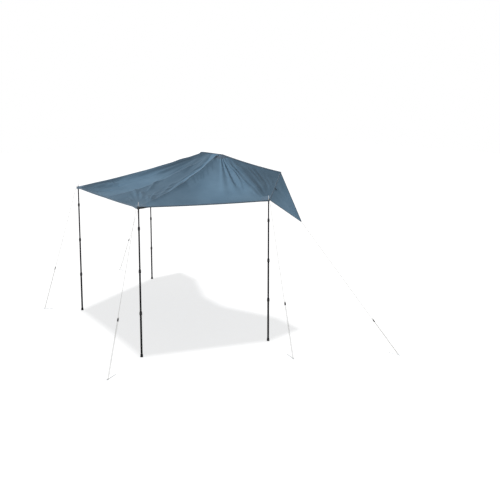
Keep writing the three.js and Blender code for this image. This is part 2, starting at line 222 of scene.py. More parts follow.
def ring_faces(around, section):
    """The faces of a closed section that goes once round and meets itself."""
    faces = []
    for k in range(around):
        here, ahead = k * section, (k + 1) % around * section
        for i in range(section):
            after = (i + 1) % section
            faces.append((here + i, ahead + i, ahead + after, here + after))
    return faces


def turned(name, axis, outline, grip=None, sides=TURN_SIDES):
    """(radius, height) pairs, closed and turned about an upright axis. grip shrinks a radius by its angle."""
    points = []
    for k in range(sides):
        angle = 2 * math.pi * k / sides
        for radius, height in outline:
            r = grip(radius, height, angle) if grip else radius
            points.append((axis[0] + r * math.cos(angle), axis[1] + r * math.sin(angle), height))
    mesh = mesh_of(name, points, ring_faces(sides, len(outline)))
    work = bmesh.new()
    work.from_mesh(mesh)
    bmesh.ops.remove_doubles(work, verts=work.verts, dist=WELD)
    bmesh.ops.recalc_face_normals(work, faces=work.faces)
    work.to_mesh(mesh)
    work.free()
    return mesh


def pole_axis(pole):
    low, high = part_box(f"pole_{pole}_foot")
    return (low + high) / 2


def surface(name, colour, roughness, metallic=0.0, specular=0.5):
    """A material and its shader, before any pattern drives it."""
    material = bpy.data.materials.new(name)
    tree = bare_tree(material)
    shader = add(tree, "BsdfPrincipled", {
        "Base Color": linear(colour), "Roughness": roughness,
        "Metallic": metallic, "Specular IOR Level": specular,
    })
    add(tree, "OutputMaterial", {"Surface": shader})
    return material, tree, shader


def anodised(stage):
    """Anodised aluminium: dyed oxide over metal, matt to satin, with lighter streaks where the tubes rub.
    Its drawing lines are finer than they are drawn here."""
    colour = TUBE_COLOURS[stage]
    material, tree, shader = surface(f"anodised_aluminium_{stage}", colour, 0.5, specular=0.12)
    place = add(tree, "TexCoord", {}).outputs["Object"]
    across, along = 1 / (DRAWN_LINES_MM * MM), 1 / (RUB_LENGTH_MM * MM)
    drawn = add(tree, "Mapping", {"Vector": place, "Scale": (across, across, along)})
    lines = add(tree, "TexNoise", {"Vector": drawn, "Scale": 1.0, "Detail": 3.0})
    worn = add(tree, "ValToRGB", {0: lines})
    for stop, position, tone in zip(worn.color_ramp.elements, (0.52, 0.78), (colour, RUBBED_COLOUR)):
        stop.position = position
        stop.color = linear(tone)
    rough = add(tree, "MapRange", {"Value": lines, "To Min": 0.42, "To Max": 0.6})
    bump = add(tree, "Bump", {"Height": lines, "Strength": 0.12, "Distance": 0.05 * MM})
    fit(shader, {"Base Color": worn, "Roughness": rough, "Normal": bump})
    return material


tube_metal = {stage: anodised(stage) for stage in STAGES}
for pole in POLES:
    axis = pole_axis(pole)
    for stage in STAGES:
        node = f"pole_{pole}_{stage}_tube"
        low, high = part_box(node)
        outer = (high.x - low.x) / 2
        inner = outer - TUBE_WALL
        outline = [
            (inner, low.z + TUBE_ROLL), (inner + TUBE_ROLL, low.z),
            (outer - TUBE_ROLL, low.z), (outer, low.z + TUBE_ROLL),
            (outer, high.z - TUBE_ROLL), (outer - TUBE_ROLL, high.z),
            (inner + TUBE_ROLL, high.z), (inner, high.z - TUBE_ROLL),
        ]
        mesh = turned(f"{pole}_{stage}_tube", axis, outline)
        body = "root" if stage == "top" else f"{pole}_{stage}"
        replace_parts(put(mesh, tube_metal[stage], body), node)

# Twist collars
# A moulded nylon collar grips the mouth of each lower tube: a quarter turn clamps or frees the tube inside.
# Its grip is fluted, its edges are rounded, and a small raised rib shows how far it is turned.
UP = Vector((0, 0, 1))
COLLAR_ROUND = 0.8 * MM
COLLAR_NECK_IN = 2.4 * MM
COLLAR_FIT = 0.5 * MM
COLLAR_SIDES = 96
MOUTH_GAP = 0.3 * MM
FLUTES = 16
FLUTE_DEPTH = 1.1 * MM
FLUTE_FADE = 3 * MM
FLUTED_SKIN = 2.6 * MM
GRIP_ENDS = (2 * MM, 14 * MM)
RIB_SIZE = (2.4 * MM, 3.2 * MM, 15 * MM)
RIB_ROUND = 0.5 * MM
RIB_SUNK = 0.9 * MM
RIB_HEIGHT = 22 * MM
RIB_OUT = Vector((math.cos(math.radians(-60)), math.sin(math.radians(-60)), 0))
NYLON_GRAIN_MM = 0.7
MOTTLE_MM = 25


def toned(hex_colour, level, lift=0.0):
    """A colour made darker or lighter."""
    return (*[v * level + lift for v in linear(hex_colour)[:3]], 1)


def moulded(name, colour, roughness, grain_mm, grain_depth):
    """Moulded plastic or rubber: one colour all through, faintly mottled, with the mould's grain."""
    material, tree, shader = surface(name, colour, roughness, specular=0.25)
    place = add(tree, "TexCoord", {}).outputs["Object"]
    grain_and_painted_shade = add(tree, "TexNoise", {"Vector": place, "Scale": 1 / (grain_mm * MM), "Detail": 4.0})
    mottle = add(tree, "TexNoise", {"Vector": place, "Scale": 1 / (MOTTLE_MM * MM), "Detail": 2.0})
    shade = add(tree, "Mix", {
        "data_type": "RGBA", 0: mottle, 6: toned(colour, 0.8), 7: toned(colour, 1.5, 0.004),
    })
    bump = add(tree, "Bump", {"Height": grain_and_painted_shade, "Strength": 0.35, "Distance": grain_depth})
    fit(shader, {"Base Color": shade.outputs[2], "Normal": bump})
    return material


def fluted(low, high, widest):
    """Shallow flutes in a grip between two heights, which fade out at both."""
    def grip(radius, height, angle):
        if radius < widest - FLUTED_SKIN:
            return radius
        inside = max(0.0, min(1.0, (height - low) / FLUTE_FADE, (high - height) / FLUTE_FADE))
        return radius - inside * FLUTE_DEPTH * (0.5 - 0.5 * math.cos(FLUTES * angle)) ** 0.7
    return grip


def boxed(name, size, round_by):
    """A small block with rounded edges."""
    work = bmesh.new()
    bmesh.ops.create_cube(work, size=1)
    bmesh.ops.scale(work, verts=work.verts, vec=size)
    bmesh.ops.bevel(work, geom=work.edges, offset=round_by, segments=3, profile=0.5, affect="EDGES")
    mesh = bpy.data.meshes.new(name)
    work.to_mesh(mesh)
    work.free()
    return mesh


def placed(mesh, origin, x_axis, y_axis, z_axis):
    """Puts a mesh that was made round its own origin at its place."""
    for v in mesh.vertices:
        v.co = origin + x_axis * v.co.x + y_axis * v.co.y + z_axis * v.co.z
    mesh.update()
    return mesh


def joined(name, meshes):
    work = bmesh.new()
    for mesh in meshes:
        work.from_mesh(mesh)
        bpy.data.meshes.remove(mesh)
    mesh = bpy.data.meshes.new(name)
    work.to_mesh(mesh)
    work.free()
    return mesh


nylon = moulded("moulded_nylon", "#0e0e10", 0.5, NYLON_GRAIN_MM, 0.1 * MM)
for pole in POLES:
    axis = pole_axis(pole)
    for k, stage in enumerate(STAGES[:3]):
        node = f"pole_{pole}_{stage}_collar"
        low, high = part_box(node)
        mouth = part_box(f"pole_{pole}_{stage}_tube")[1].z + MOUTH_GAP
        own, inner = [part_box(f"pole_{pole}_{s}_tube")[1].x - axis.x + COLLAR_FIT for s in STAGES[k:k + 2]]
        widest = high.x - axis.x
        neck = widest - COLLAR_NECK_IN
        rounding = [(neck - COLLAR_ROUND * inset, COLLAR_ROUND * rise)
                    for inset, rise in ((1, 0), (0.3, 0.3), (0, 1))]
        outline = [(own, low.z)] + [(radius, low.z + rise) for radius, rise in rounding]
        outline += [(widest - inset * MM, low.z + height * MM) for inset, height in (
            (0.6, 2), (0, 3.4), (0, 10), (0, 16), (0, 22), (0, 28), (0, 34),
        )]
        outline += [(widest - 1.0 * MM, high.z - 10 * MM), (neck + 0.2 * MM, high.z - 4 * MM)]
        outline += [(radius, high.z - rise) for radius, rise in rounding[::-1]]
        outline += [(inner, high.z), (inner, mouth), (own, mouth)]
        grip = fluted(low.z + GRIP_ENDS[0], high.z - GRIP_ENDS[1], widest)
        sleeve = turned(f"{pole}_{stage}_collar", axis, outline, grip, COLLAR_SIDES)
        rib_at = Vector((axis.x, axis.y, low.z + RIB_HEIGHT)) + RIB_OUT * (widest - RIB_SUNK)
        rib = placed(boxed("rib", RIB_SIZE, RIB_ROUND), rib_at, RIB_OUT, UP.cross(RIB_OUT), UP)
        mesh = joined(f"{pole}_{stage}_collar", [sleeve, rib])
        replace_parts(put(mesh, nylon, f"{pole}_{stage}_collar"), node)

# Feet
# A moulded rubber cup is pressed on the bottom of each pole, so that it doesn't slip or sink in.
# Two grooves run round it, and its tread is one flat disc with a rounded rim.
FOOT_ROUND = 1.6 * MM
FOOT_WALL_IN = 2 * MM
FOOT_FIT = 0.3 * MM
SOLE = 8 * MM
GROOVES = (16 * MM, 22 * MM)
rubber = moulded("moulded_rubber", "#111112", 0.82, 0.9, 0.12 * MM)
for pole in POLES:
    axis = pole_axis(pole)
    node = f"pole_{pole}_foot"
    low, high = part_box(node)
    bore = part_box(f"pole_{pole}_bottom_tube")[1].x - axis.x + FOOT_FIT
    widest = high.x - axis.x
    wall = widest - FOOT_WALL_IN
    outline = [(0, low.z), (widest - FOOT_ROUND, low.z), (widest - 0.4 * MM, low.z + 0.5 * MM),
               (widest, low.z + FOOT_ROUND), (widest, low.z + SOLE), (wall, low.z + SOLE * 1.5)]
    for groove in GROOVES:
        outline += [(wall - depth * MM, low.z + groove + rise * MM) for depth, rise in (
            (0, 0), (0.8, 0.7), (0.8, 1.5), (0, 2.2),
        )]
    outline += [(wall, high.z - FOOT_ROUND), (wall - 0.5 * MM, high.z - 0.4 * MM),
                (wall - FOOT_ROUND, high.z), (bore, high.z), (bore, low.z + SOLE), (0, low.z + SOLE)]
    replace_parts(put(turned(f"{pole}_foot", axis, outline), rubber, f"{pole}_bottom"), node)

# Spikes
# A turned steel pin is pressed into the top of each pole. Its shoulder carries the canopy's corner,
# and its thin pin goes through the corner's eyelet and takes the guy line's loop.
PIN_RADIUS = 4 * MM
STEM_LENGTH = 28 * MM
STEM_IN = 2.5 * MM
SHOULDER = 4 * MM


def bare_metal(name, colour, roughness, line_mm):
    """Bare or plated metal: bright, with fine lines from the tool, drawn coarser than they are."""
    material, tree, shader = surface(name, colour, roughness, 1.0)
    place = add(tree, "TexCoord", {}).outputs["Object"]
    lines = add(tree, "TexNoise", {"Vector": place, "Scale": 1 / (line_mm * MM), "Detail": 5.0})
    rough = add(tree, "MapRange", {
        "Value": lines, "To Min": roughness - 0.08, "To Max": roughness + 0.12,
    })
    bump = add(tree, "Bump", {"Height": lines, "Strength": 0.1, "Distance": 0.05 * MM})
    fit(shader, {"Roughness": rough, "Normal": bump})
    return material


zinc_steel = bare_metal("zinc_plated_steel", "#b2b4b6", 0.32, 1.5)
for pole in POLES:
    axis = pole_axis(pole)
    node = f"pole_{pole}_spike"
    low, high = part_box(node)
    seat = low.z + STEM_LENGTH + SHOULDER
    rim = high.x - axis.x
    stem = rim - STEM_IN
    outline = [
        (0, low.z), (stem - 0.5 * MM, low.z), (stem, low.z + 0.5 * MM), (stem, seat - SHOULDER),
        (rim - 0.3 * MM, seat - SHOULDER), (rim, seat - SHOULDER + 0.3 * MM),
        (rim, seat - 0.5 * MM), (rim - 0.5 * MM, seat), (PIN_RADIUS + 0.6 * MM, seat),
        (PIN_RADIUS, seat + 0.6 * MM), (PIN_RADIUS, high.z - 8 * MM),
        (PIN_RADIUS - 0.4 * MM, high.z - 7 * MM), (PIN_RADIUS * 0.55, high.z - 1 * MM),
        (PIN_RADIUS * 0.4, high.z), (0, high.z),
    ]
    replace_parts(put(turned(f"{pole}_spike", axis, outline), zinc_steel, "root"), node)

# Canopy
# One sewn sheet of coated polyester, cut as a fan of panels that start at the short hem of its fixed edge.
# It is pulled taut over four poles and sags between them, with long folds and creases from corner to corner.
CM = 0.01
ENDS = {"front": 1, "rear": -1}
spots = {pole: Vector((pole_axis(pole).x, pole_axis(pole).y, 0)) for pole in POLES}
OUTER_Y = spots["outer_front"].y
RIDGE_HALF_WIDTH = 300 * MM
RIDGE_Y = OUTER_Y + 1920 * MM
RIDGE_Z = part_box("tent_edge_webbing")[1].z
FIXED_CORNER = np.array([1290 * MM, OUTER_Y + 2350 * MM, 2392 * MM])
POLE_TOP = 2100 * MM
CORNER_OVERHANG = 25 * MM
CLOTH_SOLID = 3 * MM
SEAT = 1 * MM
SHOULDER_RADIUS = 10.5 * MM
MIDDLE_SAG = 105 * MM
RIDGE_SAGS = {"front": 90 * MM, "rear": 34 * MM}
INNER_SAG = 30 * MM
FIXED_EDGE_SAG = 16 * MM
ROOF_BELLY = 26 * MM
SIDE_BELLY = 58 * MM
GUSSET_BELLY = 20 * MM
OUTER_DROOP = 24 * MM
SIDE_DROOP = 12 * MM
OUTER_HEM_SHARE = 0.8
INNER_HEM_SHARE = 0.92
FOLD_HEIGHT = 24 * MM
ALONG_STEPS = 12


def arch(share):
    return 4 * share * (1 - share)


def hem_point(share):
    return np.array([share * RIDGE_HALF_WIDTH, RIDGE_Y, RIDGE_Z])


def pole_rim(pole, hem_share, sag):
    """Where the cloth ends beyond a pole, low enough to rest on the pole's shoulder."""
    spot = spots[pole]
    outward = np.array([abs(spot.x), spot.y, 0]) - hem_point(hem_share) * (1, 1, 0)
    length = np.linalg.norm(outward)
    fall = (RIDGE_Z - POLE_TOP) / ALONG_STEPS - sag * arch(1 / ALONG_STEPS)
    slope = fall * ALONG_STEPS / (length + CORNER_OVERHANG)
    rim = np.array([abs(spot.x), spot.y, POLE_TOP + SEAT + CLOTH_SOLID]) + outward / length * CORNER_OVERHANG
    rim[2] -= slope * (CORNER_OVERHANG - SHOULDER_RADIUS)
    return rim


def canopy_sectors(end):
    """The roof, side and gusset of one half, for positive X. Main folds: place and width in w, and height."""
    sag = RIDGE_SAGS[end]
    outer = pole_rim(f"outer_{end}", OUTER_HEM_SHARE, sag)
    inner = pole_rim(f"inner_{end}", INNER_HEM_SHARE, INNER_SAG)
    middle = np.array([0, OUTER_Y, POLE_TOP + CLOTH_SOLID - OUTER_DROOP])
    return {
        "roof": {
            "ends": (middle, outer), "hem": (0, OUTER_HEM_SHARE), "sags": (MIDDLE_SAG, sag),
            "belly": ROOF_BELLY, "droop": OUTER_DROOP / 4,
            "folds": ((0.62, 0.07, 0.5), (0.8, 0.06, 1), (0.93, 0.04, 0.75)),
        },
        "side": {
            "ends": (outer, inner), "hem": (OUTER_HEM_SHARE, INNER_HEM_SHARE), "sags": (sag, INNER_SAG),
            "belly": SIDE_BELLY, "droop": SIDE_DROOP,
            "folds": ((0.66, 0.05, 0.75), (0.79, 0.045, 1), (0.91, 0.04, 1)),
        },
        "gusset": {
            "ends": (inner, FIXED_CORNER), "hem": (INNER_HEM_SHARE, 1), "sags": (INNER_SAG, FIXED_EDGE_SAG),
            "belly": GUSSET_BELLY, "droop": 0, "folds": ((0.4, 0.14, 0.5),),
        },
    }


def rim_point(sector, w):
    start, end = sector["ends"]
    return start + (end - start) * w - np.array([0, 0, sector["droop"] * arch(w)])


def ray(sector, w, t):
    """The taut canopy with its main folds, on one ray of the fan: w runs across a sector, t from hem to rim.
    A main fold swells to its full height a third of the way out, which 27 / 4 sees to."""
    low, high = sector["hem"]
    hem = hem_point(low + (high - low) * w)
    sag = sector["sags"][0] + (sector["sags"][1] - sector["sags"][0]) * w + sector["belly"] * arch(w)
    rise = -sag * arch(t)
    for at, width, height in sector["folds"]:
        rise = rise + FOLD_HEIGHT * height * 27 / 4 * t * (1 - t) ** 2 * math.exp(-((w - at) / width) ** 2)
    points = hem + (rim_point(sector, w) - hem) * t[:, None]
    points[:, 2] += rise
    return points


def ray_point(sector, w, t=1.0):
    return ray(sector, w, np.array([t]))[0]


halves = {end: canopy_sectors(end) for end in ENDS}

# Short folds and creases in the cloth: how high and how wide in millimetres, and the places each runs over,
# as X and Y in centimetres with Y from the outer poles. A minus sign makes a valley. On the side away from
# the light a fold is GENTLE times as wide, unless it is wider than WIDE_FOLD.
FRONT_FOLDS = [
    (20, 150, [(66, 202), (88, 194), (113, 186), (138, 178), (162, 173)]),
    (20, 56, [(27, 194), (31, 177), (37, 161), (44, 145)]),
    (15, 30, [(38, 158), (47, 138), (55, 118), (63, 98)]),
    (18, 24, [(-6, 192), (7, 173), (17, 155), (28, 136), (42, 115), (57, 94), (71, 76), (84, 58)]),
    (-10, 20, [(5, 192), (12, 181), (25, 161), (38, 139), (48, 119)]),
    (8, 60, [(-18, 186), (-10, 150), (0, 120), (12, 95)]),
    (-10, 40, [(-17, 190), (-4, 166), (7, 145), (17, 125)]),
    (-12, 13, [(19, 191), (26, 177), (33, 164)]),
    (10, 12, [(22, 191), (29, 177), (36, 166)]),
    (-10, 10, [(25, 192), (29, 184), (34, 175)]),
    (-2, 11, [(60, 103), (70, 101), (79, 98)]),
    (-3, 11, [(53, 121), (62, 118), (72, 115)]),
    (-2, 11, [(50, 128), (60, 125), (68, 121)]),
    (-2, 11, [(47, 140), (57, 134), (67, 128)]),
    (-2.5, 11, [(44, 146), (55, 140), (67, 133)]),
    (-2, 11, [(40, 157), (51, 151), (62, 144)]),
    (-1.5, 11, [(34, 170), (45, 164), (57, 156)]),
    (14, 18, [(24, 104), (38, 90), (54, 74), (70, 59), (84, 45), (94, 34)]),
    (-3, 20, [(30, 88), (46, 70), (62, 54)]),
    (15, 15, [(-13, 95), (-4, 86), (7, 74), (18, 64), (27, 55)]),
    (12, 15, [(44, 62), (54, 53), (72, 39), (92, 27), (100, 20)]),
    (12, 15, [(48, 43), (60, 38), (80, 29), (98, 20)]),
    (14, 20, [(-6, 50), (14, 42), (36, 34)]),
    (14, 15, [(14, 50), (26, 45), (42, 38), (56, 31), (68, 25)]),
    (-4, 20, [(2, 40), (30, 31), (72, 16)]),
    (-4, 17, [(6, 49), (35, 38), (70, 22)]),
    (-4, 18, [(20, 27), (51, 18), (80, 9)]),
    (-6, 16, [(-10, 110), (-11, 128), (-14, 148)]),
    (7, 16, [(-3, 87), (-8, 97), (-15, 108)]),
    (10, 13, [(34, 200), (54, 197), (75, 192), (96, 187), (119, 181), (141, 175), (157, 171), (167, 170)]),
    (-10, 12, [(44, 195), (72, 188), (94, 182), (117, 176), (140, 170)]),
    (-13, 16, [(36, 190), (57, 182), (72, 176), (90, 168), (108, 162), (124, 155)]),
    (-9, 14, [(70, 185), (92, 178), (107, 173), (123, 165), (138, 157)]),
    (-8, 12, [(32, 189), (47, 182), (65, 173), (83, 164), (93, 159)]),
    (7, 13, [(62, 203), (85, 201), (115, 194), (145, 184), (162, 177)]),
    (7, 13, [(78, 209), (103, 204), (131, 195), (156, 185)]),
    (6, 13, [(91, 215), (118, 209), (151, 194), (162, 186)]),
    (4, 16, [(136, 166), (150, 165.5), (166, 166)]),
    (-3.5, 13, [(86, 213), (105, 207), (123, 202), (146, 192), (162, 182)]),
    (-3.5, 13, [(90, 217), (119, 209), (145, 199), (160, 190)]),
    (-3.5, 13, [(122, 188), (146, 180), (164, 174)]),
    (-3.5, 13, [(120, 200), (144, 190), (162, 180)]),
    (6, 12, [(116, 215), (138, 206), (156, 196)]),
]
REAR_FOLDS = [
    (-12, 18, [(-95, 3), (-72, 14), (-54, 36), (-40, 62)]),
    (12, 18, [(-96, 6), (-76, 22), (-60, 44), (-48, 72), (-38, 100)]),
    (-13, 18, [(-97, 10), (-80, 32), (-66, 58), (-54, 86), (-42, 118)]),
    (11, 18, [(-98, 14), (-83, 42), (-70, 70), (-57, 100), (-46, 130)]),
    (-10, 18, [(-93, 2), (-66, 6), (-40, 18), (-22, 34)]),
    (8, 18, [(-54, 100), (-42, 135), (-34, 168)]),
    (-9, 20, [(-33, 100), (-28, 130), (-25, 158), (-24, 186)]),
    (9, 26, [(-68, 42), (-64, 66), (-56, 90), (-44, 130)]),
    (-9, 24, [(-61, 30), (-56, 56), (-48, 84), (-38, 116)]),
    (10, 28, [(-40, 90), (-31, 124), (-24, 156), (-20, 184)]),
    (-10, 24, [(-36, 98), (-27, 130), (-20, 160), (-15, 184)]),
    (8, 24, [(-95, 12), (-78, 30), (-64, 56), (-54, 80)]),
    (-8, 20, [(-97, 8), (-74, 20), (-56, 38), (-44, 58)]),
    (7, 20, [(-97, 6), (-70, 11), (-44, 23), (-24, 36)]),
    (-6, 18, [(-95, 3), (-60, 5), (-30, 11)]),
    (14, 24, [(-36, 188), (-60, 178), (-90, 167), (-124, 155)]),
    (-12, 22, [(-44, 191), (-70, 182), (-105, 171), (-140, 160)]),
    (-12, 20, [(-52, 198), (-80, 190), (-110, 180), (-142, 172), (-164, 169)]),
    (8, 18, [(-62, 201), (-92, 192), (-124, 181), (-154, 173)]),
    (-7, 14, [(-74, 209), (-114, 200), (-142, 188), (-162, 178)]),
    (-7, 14, [(-92, 218), (-126, 204), (-150, 192), (-164, 182)]),
    (10, 20, [(-114, 30), (-124, 56), (-136, 84), (-142, 110)]),
    (-7, 18, [(-110, 20), (-116, 44), (-124, 74)]),
]
FOLD_STRENGTH = 1.45
STEEP_SIDE = (-0.5, -0.86)
GENTLE = 3.4
WIDE_FOLD = 100
SLACK_HEIGHT = 1.6 * MM


def lengths_along(line):
    """How far along a line each of its points lies."""
    return np.concatenate([[0], np.cumsum(np.linalg.norm(np.diff(line, axis=0), axis=1))])


def along_line(points, line):
    """How far each point is from a line, its place along it as a share, and its steep side as 1 or 0."""
    line = np.array(line, float)
    runs = lengths_along(line)
    best = np.full(len(points), np.inf)
    share, steep = np.zeros(len(points)), np.zeros(len(points))
    for start, end, before, after in zip(line[:-1], line[1:], runs[:-1], runs[1:]):
        along = np.clip((points - start) @ (end - start) / (after - before) ** 2, 0, 1)
        offset = points - start - along[:, None] * (end - start)
        away = np.linalg.norm(offset, axis=1)
        nearer = away < best
        best = np.where(nearer, away, best)
        share = np.where(nearer, (before + along * (after - before)) / runs[-1], share)
        steep = np.where(nearer, offset @ STEEP_SIDE > 0, steep)
    return best, share, steep


def smoothed(line, rounds=2):
    """Cuts a line's corners, so that a fold curves."""
    line = [np.array(p, float) for p in line]
    for _ in range(rounds):
        cut = [line[0]]
        for a, b in zip(line[:-1], line[1:]):
            cut += [a * 0.75 + b * 0.25, a * 0.25 + b * 0.75]
        line = [*cut, line[-1]]
    return line


def soft_step(values):
    values = np.clip(values, 0, 1)
    return values * values * (3 - 2 * values)


def crumple(points):
    """How far the cloth stands up or down from its taut shape at each of these places."""
    x, y = points[:, 0], points[:, 1]
    rise = np.zeros(len(points))
    for height, width, line in FRONT_FOLDS + REAR_FOLDS:
        line = [(at_x * CM, at_y * CM + OUTER_Y) for at_x, at_y in line]
        away, share, steep = along_line(points[:, :2], smoothed(line))
        reach = width * MM * np.where((steep > 0) | (width > WIDE_FOLD), 1, GENTLE)
        ends_fade = soft_step(np.minimum(share, 1 - share) * 4)
        rise += FOLD_STRENGTH * height * MM * ends_fade * np.exp(-(away / reach) ** 2)
    slack = np.sin(9.1 * x + 2.3 * y) * np.sin(7.3 * y - 1.7 * x)
    slack += 0.6 * np.sin(17 * x - 11 * y + 1.3) * np.sin(13 * y + 5 * x)
    return rise + SLACK_HEIGHT * slack


def still_at_edges(t, run):
    """Folds die out at the hem, at the rim and along the fixed edge."""
    return np.clip(t * 22, 0, 1) * np.clip((1 - t) * 14, 0, 1) * np.clip(run * 12, 0, 1)


CLOTH_SKIN = 0.6 * MM
CLOTH_DOWN = 1.2 * MM
ROWS = 130
COLUMNS = {"front": {"roof": 120, "side": 110, "gusset": 40}, "rear": {"roof": 56, "side": 36, "gusset": 18}}


def fan(end):
    """The columns of one half from the middle outwards: sector, w, and how near the fixed edge it is."""
    columns = []
    for name, steps in COLUMNS[end].items():
        for k in range(0 if name == "roof" else 1, steps + 1):
            w = k / steps
            columns.append((halves[end][name], w, 1 - w if name == "gusset" else 1.0))
    return columns


def crumpled(points, still):
    """Points of the taut canopy, put where the folded cloth really is."""
    points = points.copy()
    points[:, 2] += crumple(points) * still - CLOTH_DOWN
    return points


def canopy_grid():
    grid, edge, shares = [], [], 1 - np.linspace(1, 0, ROWS + 1) ** 1.25
    for end, sign in reversed(ENDS.items()):
        columns = fan(end)
        for sector, w, run in columns[::-1] if end == "rear" else columns[1:]:
            grid.append(ray(sector, w, shares) * (sign, 1, 1))
            edge.append(still_at_edges(shares, run))
    return np.array(grid), np.array(edge)


def grid_faces(across, down):
    k = np.arange((across - 1) * (down - 1))
    i, j = k // (down - 1), k % (down - 1)
    return np.stack([i * down + j, i * down + j + 1, (i + 1) * down + j + 1, (i + 1) * down + j], axis=1)


# The sheet is open where a spike's pin goes through it
EYELET_HOLE = 6.5 * MM
grid, edge = canopy_grid()
cloth_points = crumpled(grid.reshape(-1, 3), edge.reshape(-1))
faces = grid_faces(*grid.shape[:2])
cloth_tree = BVHTree.FromPolygons([Vector(p) for p in cloth_points], [[int(k) for k in f] for f in faces])
middles = cloth_points[faces].mean(axis=1)
keep = np.ones(len(faces), bool)
for spot in spots.values():
    keep &= np.linalg.norm(middles[:, :2] - np.array(spot)[:2], axis=1) > EYELET_HOLE
faces = faces[keep]

WEAVE_MM = 5
SLUB_MM = 12
PUCKER_PITCH = 45 * MM
PUCKER_HEIGHT = 6 * MM
PUCKER_WIDTH = 60 * MM


def wave_scale(spacing_mm):
    """The wave texture's Scale for bands this far apart."""
    return math.pi / 10 / (spacing_mm * MM)


def coated_cloth(name, dark, light):
    """Polyester woven with a ripstop grid and coated: matt, mottled, and puckered beside its seams.
    Of its weave only the grid is drawn, because single threads are too fine to show."""
    material, tree, shader = surface(name, light, 0.7, specular=0.15)
    place = add(tree, "TexCoord", {}).outputs["Object"]
    patches = add(tree, "TexNoise", {"Vector": place, "Scale": 2.2, "Detail": 3.0, "Roughness": 0.55})
    slubs = add(tree, "TexNoise", {"Vector": place, "Scale": 1 / (SLUB_MM * MM), "Detail": 3.0})
    blend = add(tree, "Math", {"operation": "MULTIPLY_ADD", 0: slubs, 1: 0.3, 2: patches})
    tone = add(tree, "MapRange", {"Value": blend, "From Min": 0.42, "From Max": 0.88})
    mottled = add(tree, "Mix", {"data_type": "RGBA", 0: tone, 6: linear(dark), 7: linear(light)})
    # The painted light and shade laid on each point is multiplied into the mottled colour
    grain_and_painted_shade = add(tree, "Attribute", {"attribute_name": "grain_and_painted_shade"}).outputs["Fac"]
    shade = add(tree, "Mix", {
        "data_type": "RGBA", "blend_type": "MULTIPLY", 0: 1.0, 6: mottled.outputs[2], 7: grain_and_painted_shade,
    })
    warp, weft = [add(tree, "TexWave", {
        "bands_direction": direction, "Vector": place, "Scale": wave_scale(WEAVE_MM), "Distortion": 0.4,
    }) for direction in "XY"]
    ripstop = add(tree, "Math", {"operation": "MAXIMUM", 0: warp.outputs["Fac"], 1: weft.outputs["Fac"]})
    weave = add(tree, "Bump", {"Height": ripstop, "Strength": 0.35, "Distance": 0.4 * MM})
    seam = add(tree, "SeparateXYZ", {0: add(tree, "UVMap", {"uv_map": "seam"})})
    pucker = add(tree, "TexNoise", {
        "noise_dimensions": "1D", "W": seam.outputs[0], "Scale": 1 / PUCKER_PITCH, "Detail": 1.0,
    })
    fade = add(tree, "MapRange", {
        "interpolation_type": "SMOOTHSTEP", "Value": seam.outputs[1],
        "From Max": PUCKER_WIDTH, "To Min": 1.0, "To Max": 0.0,
    })
    height = add(tree, "Math", {"operation": "MULTIPLY", 0: pucker, 1: fade})
    bump = add(tree, "Bump", {
        "Height": height, "Strength": 1.0, "Distance": PUCKER_HEIGHT, "Normal": weave,
    })
    fit(shader, {"Base Color": shade.outputs[2], "Normal": bump})
    return material


def lay_uv(mesh, name, pairs):
    """A UV map in metres, from one pair for each corner point of the mesh."""
    loops = np.empty(len(mesh.loops), int)
    mesh.loops.foreach_get("vertex_index", loops)
    layer = mesh.uv_layers.new(name=name)
    layer.data.foreach_set("uv", np.array(pairs, np.float32)[loops].reshape(-1))


def paint_cloth_shade(mesh, shades):
    """Painted light and shade: how light the cloth looks at each point, as an attribute that its material
    multiplies in.
    """
    grain_and_painted_shade = mesh.attributes.new("grain_and_painted_shade", "FLOAT", "POINT")
    grain_and_painted_shade.data.foreach_set("value", np.array(shades, np.float32))


def seam_places(points):
    """How far along the nearest sewn seam each point lies, and how far away from it, in metres."""
    shares = np.linspace(0, 1, 9)
    seams = [ray(halves["front"]["roof"], 0, shares)]
    seams += [ray(halves[end]["side"], 0, shares) * (sign, 1, 1) for end, sign in ENDS.items()]
    best, run = np.full(len(points), np.inf), np.zeros(len(points))
    for seam in seams:
        away, share, _ = along_line(points[:, :2], seam[:, :2])
        nearer = away < best
        best = np.where(nearer, away, best)
        run = np.where(nearer, share * np.linalg.norm(seam[-1, :2] - seam[0, :2]), run)
    return np.stack([run, np.minimum(best, 1)], axis=1)


# Lines on the cloth in plan that bound its painted light and shade, as X and Y in metres, with Y from the
# outer poles
GUSSET_CREASE = ((0.30, 1.94), (0.54, 1.96), (0.75, 1.90), (0.96, 1.85), (1.19, 1.79), (1.41, 1.73),
                 (1.57, 1.695), (1.67, 1.69), (1.80, 1.69))
LONG_FOLD = ((1.07, 0), (0.91, 0.35), (0.79, 0.58), (0.67, 0.76), (0.57, 0.97), (0.46, 1.19), (0.35, 1.39),
             (0.22, 1.61), (0.10, 1.81), (0.04, 1.92))
NEAR_RIDGE = ((1.07, 0), (0.24, 1.92))
FAR_RIDGE = ((-1.10, 0), (-0.24, 1.92))
RIDGE_STRIP = 165 * MM
HOLLOW_DOWN = 30 * MM
HOLLOW_WIDTH = 24 * MM
CLOTH_COLOURS = ("#546e82", "#637d91")
# How the painted parts change the cloth's lightness: below 1 is painted shade, above 1 a painted highlight
GUSSET_PAINTED_SHADE = 0.66
REAR_PAINTED_SHADE = 0.8
ROOF_PAINTED_SHADE = 0.75
RIDGE_PAINTED_SHADE = 0.74
BAND_PAINTED_HIGHLIGHT = 1.16
HOLLOW_PAINTED_SHADE = 0.72
STREAK_PAINTED_SHADE = 0.08
